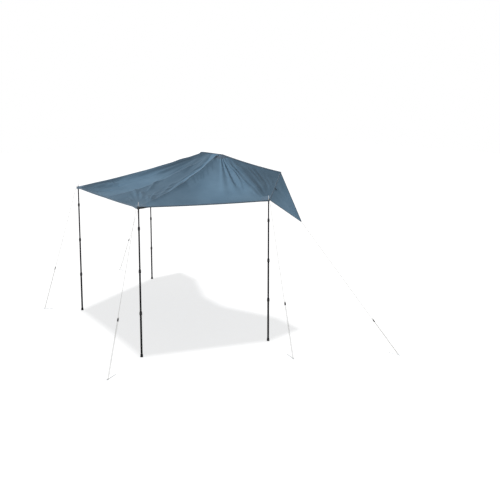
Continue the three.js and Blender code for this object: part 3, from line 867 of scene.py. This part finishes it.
# Painted soft spots of light and shade on the cloth: how light, how wide in metres, and where in plan
PAINTED_SPOTS = [
    (0.66, 0.66, (-1.07, 0.00)), (0.68, 0.62, (-0.24, 1.75)), (1.08, 0.36, (-0.36, 0.62)),
    (1.14, 0.30, (0.20, 0.10)), (1.18, 0.38, (1.18, 1.26)), (0.93, 0.36, (1.05, 0.52)),
    (1.18, 0.26, (0.62, 1.32)), (0.88, 0.26, (1.28, 2.18)),
]


def x_on(line, y):
    """A line's X at these places' Y."""
    xs, ys = zip(*line)
    return np.interp(y, ys, xs)


def beyond(distance, softness):
    """0 before an edge and 1 beyond it, with a soft change this wide."""
    return soft_step(distance / softness + 0.5)


def painted_cloth_shades(points):
    """Painted light and shade: how light the cloth looks at each point. The gussets, the rear side, the roof,
    the strip along the far ridge and the hollow beside the gusset's crease get painted shade, and the band
    between the long fold and the near ridge gets a painted highlight. Over them all lie painted streaks of
    fold shade and painted spots of light and shade."""
    x, y = points[:, 0], points[:, 1] - OUTER_Y
    from_crease = y - np.interp(np.abs(x), *zip(*GUSSET_CREASE))
    far_x, fold_x, near_x = (x_on(line, y) for line in (FAR_RIDGE, LONG_FOLD, NEAR_RIDGE))
    rear = beyond(far_x - x, 20 * MM)
    strip = beyond(far_x + RIDGE_STRIP - x, 100 * MM) - rear
    roof = beyond(fold_x - x, 30 * MM) * beyond(x, 30 * MM)
    painted_highlight_band = beyond(x - fold_x, 30 * MM) * beyond(near_x - x, 20 * MM) * soft_step((y - 0.7) / 0.4)
    hollow = np.exp(-((from_crease + HOLLOW_DOWN) / HOLLOW_WIDTH) ** 2)
    hollow *= soft_step((np.abs(x) - 0.4) / 0.2) * soft_step((1.72 - np.abs(x)) / 0.2)
    # Painted streaks of light and shade run out from the far ridge, standing in for the shading of its folds
    from_ridge = np.clip(1 - x / far_x, 0, 1)
    painted_fold_streaks = np.sin(90 * from_ridge) + np.sin(147 * from_ridge + 1) + np.sin(61 * from_ridge + 2)
    shade = 1 + STREAK_PAINTED_SHADE * painted_fold_streaks * np.exp(-(from_ridge / 0.4) ** 2) * (1 - rear)
    # Painted shade on the gussets, rear side, roof, far ridge's strip and crease's hollow; painted highlight
    # on the band
    for share, level in ((beyond(from_crease, 20 * MM), GUSSET_PAINTED_SHADE), (rear, REAR_PAINTED_SHADE), (roof, ROOF_PAINTED_SHADE),
                         (strip, RIDGE_PAINTED_SHADE), (painted_highlight_band, BAND_PAINTED_HIGHLIGHT), (hollow, HOLLOW_PAINTED_SHADE)):
        shade *= 1 + (level - 1) * share
    # Painted spots of light and shade
    for level, radius, (painted_spot_x, painted_spot_y) in PAINTED_SPOTS:
        away = np.hypot(x - painted_spot_x, y - painted_spot_y) / radius
        shade *= 1 + (level - 1) * np.exp(-away ** 4) * beyond(np.sign(painted_spot_x) * x, 60 * MM)
    return shade


def thickened(piece, thickness):
    """Gives a sheet its thickness, half to either side."""
    skin = piece.modifiers.new("thickness", "SOLIDIFY")
    skin.thickness = thickness
    skin.offset = 0
    return piece


canopy_mesh = mesh_of("canopy", cloth_points, faces)
paint_cloth_shade(canopy_mesh, painted_cloth_shades(cloth_points))
lay_uv(canopy_mesh, "seam", seam_places(cloth_points))
canopy_cloth = coated_cloth("coated_polyester", *CLOTH_COLOURS)
canopy = thickened(put(canopy_mesh, canopy_cloth, "root"), CLOTH_SKIN)
panels = [f"{panel}_{end}" for panel in ("roof_panel", "side_panel", "gusset_panel") for end in ENDS]
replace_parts(canopy, *panels)

# Flaps
# At either end a triangle of the same cloth is sewn to the canopy's rim and hangs down to a point of its own.
# The front one shades the way in, and a guy line pulls its point out and down.
FLAP_TIP = np.array([1770 * MM, OUTER_Y + 2340 * MM, 1693 * MM])
TIP_HALF_WIDTH = 14 * MM
FLAP_HOLLOW = 22 * MM
SEAM_RIPPLE = 7 * MM
TIP_RIPPLE = 4 * MM
FLAP_TOP_PAINTED_SHADE = 0.24
FLAP_STEPS = 60
# The flap's colours are the canopy cloth's made lighter: painted light, for a side that gets less from the
# lamps
FLAP_PAINTED_LIGHT_COLOURS = ("#789bb5", "#8badc7")
FLAP_FLAT = (1.00, 0.80)


def flap_grid(end):
    """The flap's columns of points from seam to tip, the first at the pole and the last at the fixed edge."""
    gusset = halves[end]["gusset"]
    along = FIXED_CORNER - gusset["ends"][0]
    along /= np.linalg.norm(along)
    t = np.linspace(0, 1, FLAP_STEPS + 1)
    columns = []
    for w in t:
        seam = ray_point(gusset, w) - (0, 0, CLOTH_DOWN)
        tip = FLAP_TIP + along * (2 * w - 1) * TIP_HALF_WIDTH
        line = seam + (tip - seam) * t[:, None]
        ripple = SEAM_RIPPLE * np.sin(21 * w + 3) * np.exp(-3.2 * t)
        ripple += TIP_RIPPLE * np.sin(34 * w + 1) * np.exp(-5 * (1 - t))
        line[:, 0] += ripple * arch(w) * np.clip(8 * t, 0, 1) * np.clip(8 * (1 - t), 0, 1)
        line[:, 0] -= FLAP_HOLLOW * arch(w) * arch(t)
        columns.append(line * (ENDS[end], 1, 1))
    return np.array(columns)


flap_cloth_painted_light = coated_cloth("coated_polyester_flap_painted_light", *FLAP_PAINTED_LIGHT_COLOURS)
for end in ENDS:
    columns = flap_grid(end)
    mesh = mesh_of(f"flap_{end}_cloth", columns.reshape(-1, 3), grid_faces(*columns.shape[:2]))
    t = np.linspace(0, 1, FLAP_STEPS + 1)
    run, drop = (part.reshape(-1) for part in np.meshgrid(t, t, indexing="ij"))
    # Painted shade: the flap darkens towards its seam, below the canopy's rim
    paint_cloth_shade(mesh, 1 - FLAP_TOP_PAINTED_SHADE * (1 - soft_step(drop / 0.5)))
    lay_uv(mesh, "seam", np.stack([run * FLAP_FLAT[1], drop * FLAP_FLAT[0]], axis=-1))
    flap = thickened(put(mesh, flap_cloth_painted_light, "root"), CLOTH_SKIN)
    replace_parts(flap, f"flap_{end}")

# Edge webbing
# A 50 mm band of heavy woven polyester is sewn under the fixed edge, and the canopy hangs from it.
# It goes on under the short hem, from one corner to the other.
WEBBING_LAPS_MM = (-14, -7, 0, 8, 16, 24, 32, 37.5)
WEBBING_DOWN = 1.5 * MM
WEBBING_SKIN = 2.2 * MM
WEBBING_STEPS = 160
WEBBING_RIB_MM = 3


def woven(name, dark, light):
    """Heavy woven webbing: dull, with close ribs across its length, drawn at 3 mm so that they show."""
    material, tree, shader = surface(name, light, 0.75)
    run = add(tree, "UVMap", {"uv_map": "run"})
    ribs = add(tree, "TexWave", {
        "bands_direction": "X", "Vector": run, "Scale": wave_scale(WEBBING_RIB_MM), "Distortion": 0.6,
    })
    shade = add(tree, "Mix", {
        "data_type": "RGBA", 0: ribs.outputs["Fac"], 6: linear(dark), 7: linear(light),
    })
    bump = add(tree, "Bump", {"Height": ribs.outputs["Fac"], "Strength": 0.6, "Distance": 0.4 * MM})
    fit(shader, {"Base Color": shade.outputs[2], "Normal": bump})
    return material


def unit(rows):
    """The direction of each of these rows."""
    return rows / np.linalg.norm(rows, axis=-1, keepdims=True)


def band(name, rows, thickness, material):
    """A closed band of cloth or webbing. rows are lines of points along it, side by side."""
    rows = np.array(rows)
    run, width = lengths_along(rows[len(rows) // 2]), lengths_along(rows[:, rows.shape[1] // 2])
    mesh = mesh_of(name, rows.reshape(-1, 3), grid_faces(*rows.shape[:2]))
    lay_uv(mesh, "run", [(u, v) for v in width for u in run])
    return thickened(put(mesh, material, "root"), thickness)


webbing_weave = woven("woven_polyester_webbing", "#3c4a57", "#55687a")
slope = ray(halves["front"]["gusset"], 1, np.linspace(1, 0, WEBBING_STEPS))
webbing_edge = np.concatenate([slope, slope[::-1] * (-1, 1, 1)]) - (0, 0, WEBBING_DOWN)
heading = np.gradient(webbing_edge, axis=0)
aside = unit(np.stack([heading[:, 1], -heading[:, 0], 0 * heading[:, 0]], axis=1))
webbing_rows = [webbing_edge + aside * lap * MM for lap in WEBBING_LAPS_MM]
webbing = band("edge_webbing", webbing_rows, WEBBING_SKIN, webbing_weave)
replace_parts(webbing, "tent_edge_webbing")

# Guy lines
# Thin braided cord, looped round each spike on top of the canopy and pulled out to a peg in the ground.
# It goes through a flat runner, round the peg and back up to the runner, where a knot stops it.
CORD = 3 * MM
CORD_TURN = 6 * MM
CORD_BEND = 8 * MM
CORD_TAIL = 12 * MM
CORD_EASE = 1.5 * MM
CORD_GAP = 0.3 * MM
LOOP_GAP = 0.7 * MM
CORD_RIB_MM = 4
PEG_RAISE = 8.5 * MM
PEG_PIN = 3 * MM
PEG_HEAD = 7 * MM
PEG_REACH = 136 * MM
SLIDER = (24 * MM, 9 * MM, 40 * MM)
SLIDER_ROUND = 1.2 * MM
SLIDER_HOLE = 1.9 * MM
RUNNER_SIDES = 24
LOOP_STEPS = 14
BEND_STEPS = 5
BIGHT_STEPS = 10
SMALL_SIDES = 32
KNOT_CORD = 1.3 * MM
KNOT_AROUND = 72
KNOT_SIDES = 12
# For each line, in millimetres: where its peg lies from its top in plan, and how far up from it the slider is
LINES = {
    "outer_rear": ((-450, -474), 730), "outer_front": ((294, -622), 730), "inner_rear": ((-924, -243), 730),
    "inner_front": ((641, -98), 730), "flap_front": ((1475, 466), 545),
}


def line_frame(top, peg):
    out = Vector((peg[0], peg[1], 0)).normalized()
    ground = Vector((top.x + peg[0] * MM, top.y + peg[1] * MM, PEG_RAISE))
    return out, UP.cross(out), ground


def rim_slope(pole):
    """How steeply the cloth falls at a pole, from the two ends of its rim and the pole's own top."""
    end = pole.split("_")[1]
    hem_share, sag = (OUTER_HEM_SHARE, RIDGE_SAGS[end]) if "outer" in pole else (INNER_HEM_SHARE, INNER_SAG)
    rim = pole_rim(pole, hem_share, sag)
    return (POLE_TOP + SEAT + CLOTH_SOLID - rim[2]) / (CORNER_OVERHANG - SHOULDER_RADIUS)


def line_start(name, peg):
    """The loop round a spike and the bend over the canopy's edge, or the knot at the flap's point."""
    if name == "flap_front":
        top = Vector(FLAP_TIP)
        out, side, ground = line_frame(top, peg)
        off_tip = Vector(FIXED_CORNER - halves["front"]["gusset"]["ends"][0]).cross(UP).normalized()
        start = top - UP * CLOTH_SOLID / 2 - side * CORD_TURN
        start += off_tip * (CORD_GAP + CORD / 2 - (start - top).dot(off_tip))
        foot = ground - side * CORD_TURN
        return (out, side, ground), [start + (foot - start) * k / 4 for k in range(4)]
    top = Vector((spots[name].x, spots[name].y, POLE_TOP))
    out, side, ground = line_frame(top, peg)
    over_slope = rim_slope(name) * (SHOULDER_RADIUS + CORD_TURN + CORD / 2)
    lift = LOOP_GAP + CLOTH_SOLID + over_slope + CORD / 2 + CORD_EASE
    centre = top + UP * lift
    points = []
    for k in range(LOOP_STEPS + 1):
        turn = -1.5 * math.pi * (1 - k / LOOP_STEPS)
        points.append(centre + (-side * math.cos(turn) + out * math.sin(turn)) * CORD_TURN)
    hub = centre - UP * CORD_BEND + out * (CORNER_OVERHANG + CORD)
    reach = ground - hub
    level = reach.dot(out)
    leave = math.atan2(reach.z, level) + math.acos(CORD_BEND / math.hypot(level, reach.z))
    for k in range(BEND_STEPS + 1):
        turn = math.pi / 2 + (leave - math.pi / 2) * k / BEND_STEPS
        points.append(hub + (out * math.cos(turn) + UP * math.sin(turn)) * CORD_BEND - side * CORD_TURN)
    return (out, side, ground), points


def braided(name, colour):
    """Braided polyester cord: pale strands in slanting ribs, drawn at 4 mm as the real ones are too fine."""
    material, tree, shader = surface(name, colour, 0.8)
    place = add(tree, "TexCoord", {}).outputs["Object"]
    ribs = add(tree, "TexWave", {
        "bands_direction": "DIAGONAL", "Vector": place, "Scale": wave_scale(CORD_RIB_MM), "Distortion": 2.0,
    })
    shade = add(tree, "Mix", {
        "data_type": "RGBA", 0: ribs.outputs["Fac"], 6: toned(colour, 0.6), 7: linear(colour),
    })
    bump = add(tree, "Bump", {"Height": ribs.outputs["Fac"], "Strength": 0.7, "Distance": 0.4 * MM})
    fit(shader, {"Base Color": shade.outputs[2], "Normal": bump})
    return material


def poly_line(data, points, closed=False):
    spline = data.splines.new("POLY")
    spline.points.add(len(points) - 1)
    spline.use_cyclic_u = closed
    for spline_point, point in zip(spline.points, points):
        spline_point.co = (*point, 1)


def runner_mesh(name):
    """A flat bar with rounded edges and two holes, from a flat curve."""
    data = bpy.data.curves.new(name, "CURVE")
    data.dimensions = "2D"
    data.fill_mode = "BOTH"
    data.extrude = SLIDER[2] / 2 - SLIDER_ROUND
    data.bevel_depth = SLIDER_ROUND
    data.bevel_resolution = 3
    data.offset = -SLIDER_ROUND
    end_round = SLIDER[1] / 2
    outline = []
    for k in range(RUNNER_SIDES + 1):
        turn = -math.pi / 2 + math.pi * k / RUNNER_SIDES
        x = SLIDER[0] / 2 - end_round + end_round * math.cos(turn)
        outline.append((x, end_round * math.sin(turn), 0))
    poly_line(data, outline + [(-x, -y, 0) for x, y, _ in outline], True)
    turns = [2 * math.pi * k / RUNNER_SIDES for k in range(RUNNER_SIDES)]
    for side in (-CORD_TURN, CORD_TURN):
        hole = [(side + SLIDER_HOLE * math.cos(a), SLIDER_HOLE * math.sin(a), 0) for a in turns]
        poly_line(data, hole, True)
    shape = bpy.data.objects.new(name, data)
    mesh = bpy.data.meshes.new_from_object(shape)
    bpy.data.objects.remove(shape)
    bpy.data.curves.remove(data)
    mesh.materials.clear()
    mesh.name = name
    return mesh


def knot_mesh(name, radius):
    """An overhand knot: a trefoil of cord, drawn tight."""
    points = []
    for k in range(KNOT_AROUND):
        u = 2 * math.pi * k / KNOT_AROUND
        here = Vector((
            math.sin(u) + 2 * math.sin(2 * u), math.cos(u) - 2 * math.cos(2 * u), -math.sin(3 * u),
        ))
        ahead = Vector((
            math.cos(u) + 4 * math.cos(2 * u), -math.sin(u) + 4 * math.sin(2 * u), -3 * math.cos(3 * u),
        ))
        first = ahead.cross(UP).normalized()
        second = ahead.normalized().cross(first)
        for j in range(KNOT_SIDES):
            turn = -2 * math.pi * j / KNOT_SIDES
            points.append((here * 1.05 + first * math.cos(turn) + second * math.sin(turn)) * radius)
    return mesh_of(name, points, ring_faces(KNOT_AROUND, KNOT_SIDES))


cord_braid = braided("braided_polyester_cord", "#8d897e")
runner_plastic = moulded("moulded_acetal", "#1a1b1d", 0.42, 0.7, 0.06 * MM)
peg_steel = bare_metal("galvanised_steel", "#b4b7ba", 0.42, 2.0)
peg_outline = [
    (0, -22 * MM), (PEG_HEAD - 1.2 * MM, -22 * MM), (PEG_HEAD, -20.8 * MM), (PEG_HEAD, -11.2 * MM),
    (PEG_HEAD - 1.2 * MM, -10 * MM), (PEG_PIN + 0.8 * MM, -10 * MM), (PEG_PIN, -9.2 * MM),
    (PEG_PIN, 132 * MM), (PEG_PIN * 0.9, 138 * MM), (PEG_PIN * 0.35, 156 * MM), (0, 158 * MM),
]
for name, (peg, up_by) in LINES.items():
    (out, side, ground), points = line_start(name, peg)
    down = (ground - side * CORD_TURN - points[-1]).normalized()
    middle = ground - down * up_by * MM
    tail = middle - down * (SLIDER[2] / 2 + CORD_TAIL) + side * CORD_TURN
    for k in range(BIGHT_STEPS + 1):
        turn = math.pi * k / BIGHT_STEPS
        points.append(ground + (-side * math.cos(turn) + down * math.sin(turn)) * CORD_TURN)
    points.append(tail)
    data = bpy.data.curves.new(f"guy_line_{name}", "CURVE")
    data.dimensions = "3D"
    data.bevel_depth = CORD / 2
    data.bevel_resolution = 4
    data.use_fill_caps = True
    poly_line(data, points)
    data.materials.append(cord_braid)
    cord = bpy.data.objects.new(f"{name}_guy_cord", data)
    scene.collection.objects.link(cord)
    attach(cord, "root")
    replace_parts(cord, f"guy_line_{name}")

    depth = down.cross(side)
    mesh = placed(runner_mesh(f"{name}_runner"), middle, side, depth, down)
    runner = put(mesh, runner_plastic, "root")
    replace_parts(runner, f"line_slider_{name}")
    mesh = placed(knot_mesh(f"{name}_knot", KNOT_CORD), tail, side, depth, down)
    knot = put(mesh, cord_braid, "root")

    # The peg's neck lies in the bight of the cord, and its pin slopes down to the ground
    head_at = ground + down * (CORD_TURN - CORD / 2 - CORD_GAP + PEG_PIN / down.z)
    drop = (head_at.z - PEG_PIN - CORD_GAP) / PEG_REACH
    inward = (-out - UP * drop).normalized()
    across_peg = inward.cross(UP).normalized()
    mesh = turned(f"{name}_peg", (0, 0), peg_outline, sides=SMALL_SIDES)
    placed(mesh, head_at, across_peg, inward.cross(across_peg), inward)
    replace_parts(put(mesh, peg_steel, "root"), f"ground_peg_{name}")

# Hem
# The free rim is folded twice and stitched, and hangs a little, lowest where it turns round a pole.
# It is one band, from one inner pole round the outer two to the other.
HEM_TOP = 15 * MM
HEM_HANG = 13 * MM
HEM_CORNER_HANG = 16 * MM
HEM_SKIN = 1.3 * MM
INNER_CORNER_SHARE = 0.2
STITCH_MM = 7
THREAD_COLOUR = "#3b4b5a"


def stitched(name, dark, light, rows):
    """The coated cloth, folded, and pulled in by two rows of stitches, drawn 7 mm long so that they show."""
    material, tree, shader = surface(name, light, 0.6)
    run = add(tree, "UVMap", {"uv_map": "run"})
    parts = add(tree, "SeparateXYZ", {0: run})
    along = add(tree, "Math", {"operation": "PINGPONG", 0: parts.outputs[0], 1: STITCH_MM * MM / 2})
    thread_on = add(tree, "Math", {"operation": "GREATER_THAN", 0: along, 1: STITCH_MM * MM * 0.16})
    from_rows = []
    for row in rows:
        away = add(tree, "Math", {"operation": "SUBTRACT", 0: parts.outputs[1], 1: row * MM})
        from_rows.append(add(tree, "Math", {"operation": "ABSOLUTE", 0: away}))
    nearest = add(tree, "Math", {"operation": "MINIMUM", 0: from_rows[0], 1: from_rows[1]})
    in_row = add(tree, "MapRange", {
        "Value": nearest, "From Min": 0.4 * MM, "From Max": 1.6 * MM, "To Min": 1.0, "To Max": 0.0,
    })
    place = add(tree, "TexCoord", {}).outputs["Object"]
    patches = add(tree, "TexNoise", {"Vector": place, "Scale": 60.0, "Detail": 3.0})
    cloth = add(tree, "Mix", {"data_type": "RGBA", 0: patches, 6: linear(dark), 7: linear(light)})
    thread = add(tree, "Math", {"operation": "MULTIPLY", 0: in_row, 1: thread_on})
    shade = add(tree, "Mix", {
        "data_type": "RGBA", 0: thread, 6: cloth.outputs[2], 7: linear(THREAD_COLOUR),
    })
    sunk = add(tree, "Math", {"operation": "SUBTRACT", 0: thread, 1: in_row})
    bump = add(tree, "Bump", {"Height": sunk, "Strength": 0.8, "Distance": 0.8 * MM})
    fit(shader, {"Base Color": shade.outputs[2], "Normal": bump})
    return material


# Its colours are darker than the canopy's: painted shade along the hanging hem, and on the flap's seams and
# hems
hem_cloth = stitched("folded_coated_polyester", "#3c5161", "#4a6072", (3, 13))
rim, inward = [], []
for end, sign in reversed(ENDS.items()):
    columns = [c for c in fan(end) if c[0] is not halves[end]["gusset"]]
    for sector, w, _ in columns[::-1] if end == "rear" else columns[1:]:
        outer, inner = ray(sector, w, np.array([1.0, 0.99]))
        rim.append(outer * (sign, 1, 1) - (0, 0, CLOTH_DOWN))
        inward.append(unit(inner - outer) * (sign, 1, 1))
rim, inward = np.array(rim), np.array(inward)
corner_near = np.zeros(len(rim))
for pole, spot in spots.items():
    away = np.linalg.norm(rim[:, :2] - np.array(spot)[:2], axis=1)
    share = 1 if "outer" in pole else INNER_CORNER_SHARE
    corner_near = np.maximum(corner_near, share * np.exp(-((away - 30 * MM) / (70 * MM)) ** 2))
hang = HEM_HANG + HEM_CORNER_HANG * corner_near
outward = unit(-inward * (1, 1, 0))
lift = np.array([0, 0, 1.0])
hem_rows = [rim + inward * along + lift * above * MM for along, above in (
    (HEM_TOP, 0.5), (HEM_TOP / 2, 0.7), (1.5 * MM, 0.6),
)]
hem_rows.append(rim + outward * 0.6 * MM - lift * 0.6 * MM)
hem_rows += [rim + outward * 0.9 * MM - lift * (hang * share)[:, None] for share in (0.25, 0.5, 0.75, 1.0)]
band("rim_hem", hem_rows, HEM_SKIN, hem_cloth)

# Painted shade loops
# A short loop of black webbing is sewn under the rim beside each outer pole: a dark piece that is painted
# shade for the corner's shaded underside. It hangs lowest at the pole and runs out along the side.
LOOP_SHARE = 0.058
LOOP_DROP = 32 * MM
LOOP_SKIN = 1.6 * MM
painted_shade_webbing = woven("black_polyester_webbing_painted_shade", "#0b0c0e", "#191b1e")
for end, sign in ENDS.items():
    steps = np.linspace(0.0, LOOP_SHARE, 25)
    top = np.array([ray_point(halves[end]["side"], w) for w in steps]) * (sign, 1, 1)
    aside = unit(np.cross(np.gradient(top, axis=0), lift) * sign)
    drop = LOOP_DROP * (1 - steps / LOOP_SHARE) ** 0.7 + 3 * MM
    loop = [top + aside * 2.6 * MM - lift * (4 * MM + drop * share)[:, None] for share in (0, 0.33, 0.66, 1)]
    band(f"painted_shade_loop_{end}", loop, LOOP_SKIN, painted_shade_webbing)

# Seams
# Three flat-felled seams join the panels: one in the middle, and one from the short hem to each outer pole.
# Each is four layers of the cloth with two rows of stitches, and lies just proud of the sheet.
SEAM_HALF_WIDTH = 7 * MM
SEAM_SKIN = 1.8 * MM
SEAM_PROUD = 0.2 * MM
SEAM_STEP = 0.02
seam_shares = np.linspace(0.004, 0.992, 220)
seam_cloth = stitched("felled_coated_polyester", "#425a6d", "#526c80", (3.5, 10.5))


def seam_line(end, sector, at, offset):
    """A line on the folded cloth beside a ray of the fan, this share of the seam's half width away."""
    sector = halves[end][sector]
    here, beside = (ray(sector, w, seam_shares) for w in (at, abs(at - SEAM_STEP)))
    points = []
    for apart, t in zip(np.linalg.norm(beside - here, axis=1) / SEAM_STEP, seam_shares):
        w = at + offset * SEAM_HALF_WIDTH / max(apart, MM)
        points.append(ray_point(sector, min(max(w, 0), 1), t))
    still = still_at_edges(seam_shares, 1.0)
    return crumpled(np.array(points) * (ENDS[end], 1, 1), still) + lift * SEAM_PROUD


for end in ENDS:
    lines = [seam_line(end, *place) for place in (
        ("roof", 1, -1), ("roof", 1, -0.5), ("side", 0, 0), ("side", 0, 0.5), ("side", 0, 1),
    )]
    band(f"ridge_seam_{end}", lines, SEAM_SKIN, seam_cloth)
middle_line = seam_line("front", "roof", 0, 0)
across_middle = [middle_line + (share * SEAM_HALF_WIDTH, 0, 0) for share in (-1, -0.5, 0, 0.5, 1)]
band("middle_seam", across_middle, SEAM_SKIN, seam_cloth)

# Corner patches and eyelets
# Doubled cloth is sewn on round each spike to take the strain, and is cut to the canopy's rim.
# A rolled ring of nickel-plated brass lines the hole that the spike's pin goes through.
PATCH_RADIUS = 105 * MM
PATCH_SKIN = 1.6 * MM
PATCH_HOLE = 8 * MM
PATCH_STEP = 2 * MM
PATCH_RAYS = 96
PATCH_RINGS = 16
RING_MIDDLE = 9 * MM
patch_cloth = stitched("doubled_coated_polyester", "#465f73", "#546e83", (4, 10))
eyelet_brass = bare_metal("nickel_plated_brass", "#b9b6ae", 0.3, 1.2)


def under(centre, reach, angle):
    """The cloth's point and upright below a place this far from a centre, or nothing beside the cloth."""
    above = Vector((centre[0] + reach * math.cos(angle), centre[1] + reach * math.sin(angle), 2 * POLE_TOP))
    place, normal, _, _ = cloth_tree.ray_cast(above, -UP)
    return (place, normal if normal.z > 0 else -normal) if place else None


def round_patch(name, centre, inner, radius, material, turns=(0, 2 * math.pi)):
    """Doubled cloth round a place, cut to the cloth's edge where that is nearer."""
    points, pairs = [], []
    for angle in np.linspace(*turns, PATCH_RAYS + 1):
        reach = inner
        while reach < radius and under(centre, reach + PATCH_STEP, angle):
            reach += PATCH_STEP
        for r in np.linspace(inner, reach, PATCH_RINGS + 1):
            hit = under(centre, r, angle)
            points.append(hit[0] if hit else points[-1])
            pairs.append((angle * radius, radius - r))
    mesh = mesh_of(name, points, grid_faces(PATCH_RAYS + 1, PATCH_RINGS + 1))
    lay_uv(mesh, "run", pairs)
    return thickened(put(mesh, material, "root"), PATCH_SKIN)


ring_outline = [(radius * MM, height * MM) for radius, height in (
    (5.2, -0.9), (5.2, 0.9), (5.6, 1.3), (6.4, 1.45), (8.6, 1.3),
    (9.8, 0.7), (9.8, -0.7), (8.6, -1.3), (6.4, -1.45), (5.6, -1.3),
)]
for pole, spot in spots.items():
    round_patch(f"{pole}_corner_patch", spot, PATCH_HOLE, PATCH_RADIUS, patch_cloth)
    hits = [under(spot, RING_MIDDLE, angle) for angle in np.linspace(0, 2 * math.pi, 13)[:-1]]
    hits = [hit for hit in hits if hit]
    height = sum(place.z for place, _ in hits) / len(hits)
    upright = sum((normal for _, normal in hits), Vector()).normalized()
    first = upright.cross(Vector((0, 1, 0))).normalized()
    ring = turned(f"{pole}_eyelet", (0, 0), ring_outline)
    placed(ring, Vector((spot.x, spot.y, height)), first, upright.cross(first), upright)
    put(ring, eyelet_brass)

# Hem ends
# Another doubled piece of cloth is sewn on at each end of the short hem, where the folds and the strain meet.
# It is cut as a fan, and coloured darker than the corner patches.
END_PATCH = 115 * MM
END_IN = 3 * MM
END_TURNS = {"front": (-0.62 * math.pi, 0.1 * math.pi), "rear": (0.9 * math.pi, 1.62 * math.pi)}
end_cloth = stitched("hem_end_coated_polyester", "#36495a", "#425668", (4, 10))
for end, sign in ENDS.items():
    place = (sign * (RIDGE_HALF_WIDTH - END_IN), RIDGE_Y - END_IN)
    round_patch(f"hem_end_patch_{end}", place, PATCH_STEP, END_PATCH, end_cloth, END_TURNS[end])

# Flap trims
# The flap is felled to the rim, its free edges are hemmed, and a webbing tab at its point takes the line.
# A toggle hangs from the seam, and goes through a loop to hold the flap when it is rolled up.
FLAP_HEM = 14 * MM
FLAP_HEM_SKIN = 1.9 * MM
TAPE_SKIN = 1.4 * MM
TAB_SKIN = 2.6 * MM
TOGGLE_SHARE = 0.44
TOGGLE_DOWN = 34 * MM
TOGGLE_RADIUS = 5 * MM
toggle_outline = [(radius * MM, height * MM) for radius, height in (
    (0, -17), (3.4, -17), (5, -15.5), (5, -2.6), (3.8, -1.5),
    (3.8, 1.5), (5, 2.6), (5, 15.5), (3.4, 17), (0, 17),
)]
for end, sign in ENDS.items():
    columns = flap_grid(end)
    top = columns[:, 0]
    down_flap = unit(columns[:, 1] - top)
    shares = np.linspace(0, 1, len(columns))
    inside = np.array([ray_point(halves[end]["gusset"], w, 0.985) for w in shares]) * (sign, 1, 1)
    in_canopy = unit(inside - (0, 0, CLOTH_DOWN) - top)
    out = np.cross(columns[-1, 0] - columns[0, 0], down_flap[len(shares) // 2])
    out = unit(out * sign * np.sign(out[0]))
    rows = [top + in_canopy * 9 * MM + lift * 0.4 * MM, top + in_canopy * 4 * MM + lift * 0.6 * MM,
            top + out * 0.4 * MM + lift * 0.4 * MM,
            top + down_flap * 4 * MM + out * 0.6 * MM, top + down_flap * 9 * MM + out * 0.4 * MM]
    band(f"flap_seam_{end}", rows, SEAM_SKIN, hem_cloth)
    width = np.minimum(FLAP_HEM, np.linalg.norm(columns[-1] - columns[0], axis=1) * 0.45)[:, None]
    for side, first, second in (("outer", 0, 1), ("inner", -1, -2)):
        in_flap = unit(columns[second] - columns[first])
        rows = [columns[first] + in_flap * reach for reach in (-0.8 * MM, width * 0.5, width)]
        band(f"flap_{side}_hem_{end}", rows, FLAP_HEM_SKIN, hem_cloth)

    # The toggle, on its tape
    out, along = Vector(out), Vector(columns[-1, 0] - columns[0, 0]).normalized()
    toggle_at = int(len(shares) * TOGGLE_SHARE)
    start = Vector(top[toggle_at]) + out * 2.2 * MM
    lean = (Vector(down_flap[toggle_at]) - along * 0.25).normalized()
    wide = lean.cross(out).normalized()
    tape = [[start + (wide * across + lean * down + out * bulge) * MM for down, bulge in (
        (0, 0), (8, 1.2), (16, 2.6), (24, 3.2), (30, 3.0),
    )] for across in (-4, 0, 4)]
    band(f"toggle_tape_{end}", tape, TAPE_SKIN, webbing_weave)
    hangs = (lean * 0.8 + along * 0.6).normalized()
    barrel = turned(f"toggle_{end}", (0, 0), toggle_outline, sides=SMALL_SIDES)
    middle = start + lean * TOGGLE_DOWN + out * TOGGLE_RADIUS
    placed(barrel, middle, hangs.cross(out).normalized(), out, hangs)
    put(barrel, runner_plastic, "root")

    # The tab at the flap's point
    tip, higher = (Vector(columns[len(columns) // 2, k]) for k in (-1, -6))
    up_flap = (higher - tip).normalized()
    tab = [[tip + (along * across + up_flap * up + out * 0.2) * MM for up in (26, 18, 10, 2, -3)]
           for across in (-9, -4.5, 0, 4.5, 9)]
    band(f"flap_tab_{end}", tab, TAB_SKIN, webbing_weave)

# The key's set: it lights every piece but the paper
for piece in scene.objects:
    if piece.type in ("MESH", "CURVE") and piece != floor:
        key_lit.objects.link(piece)
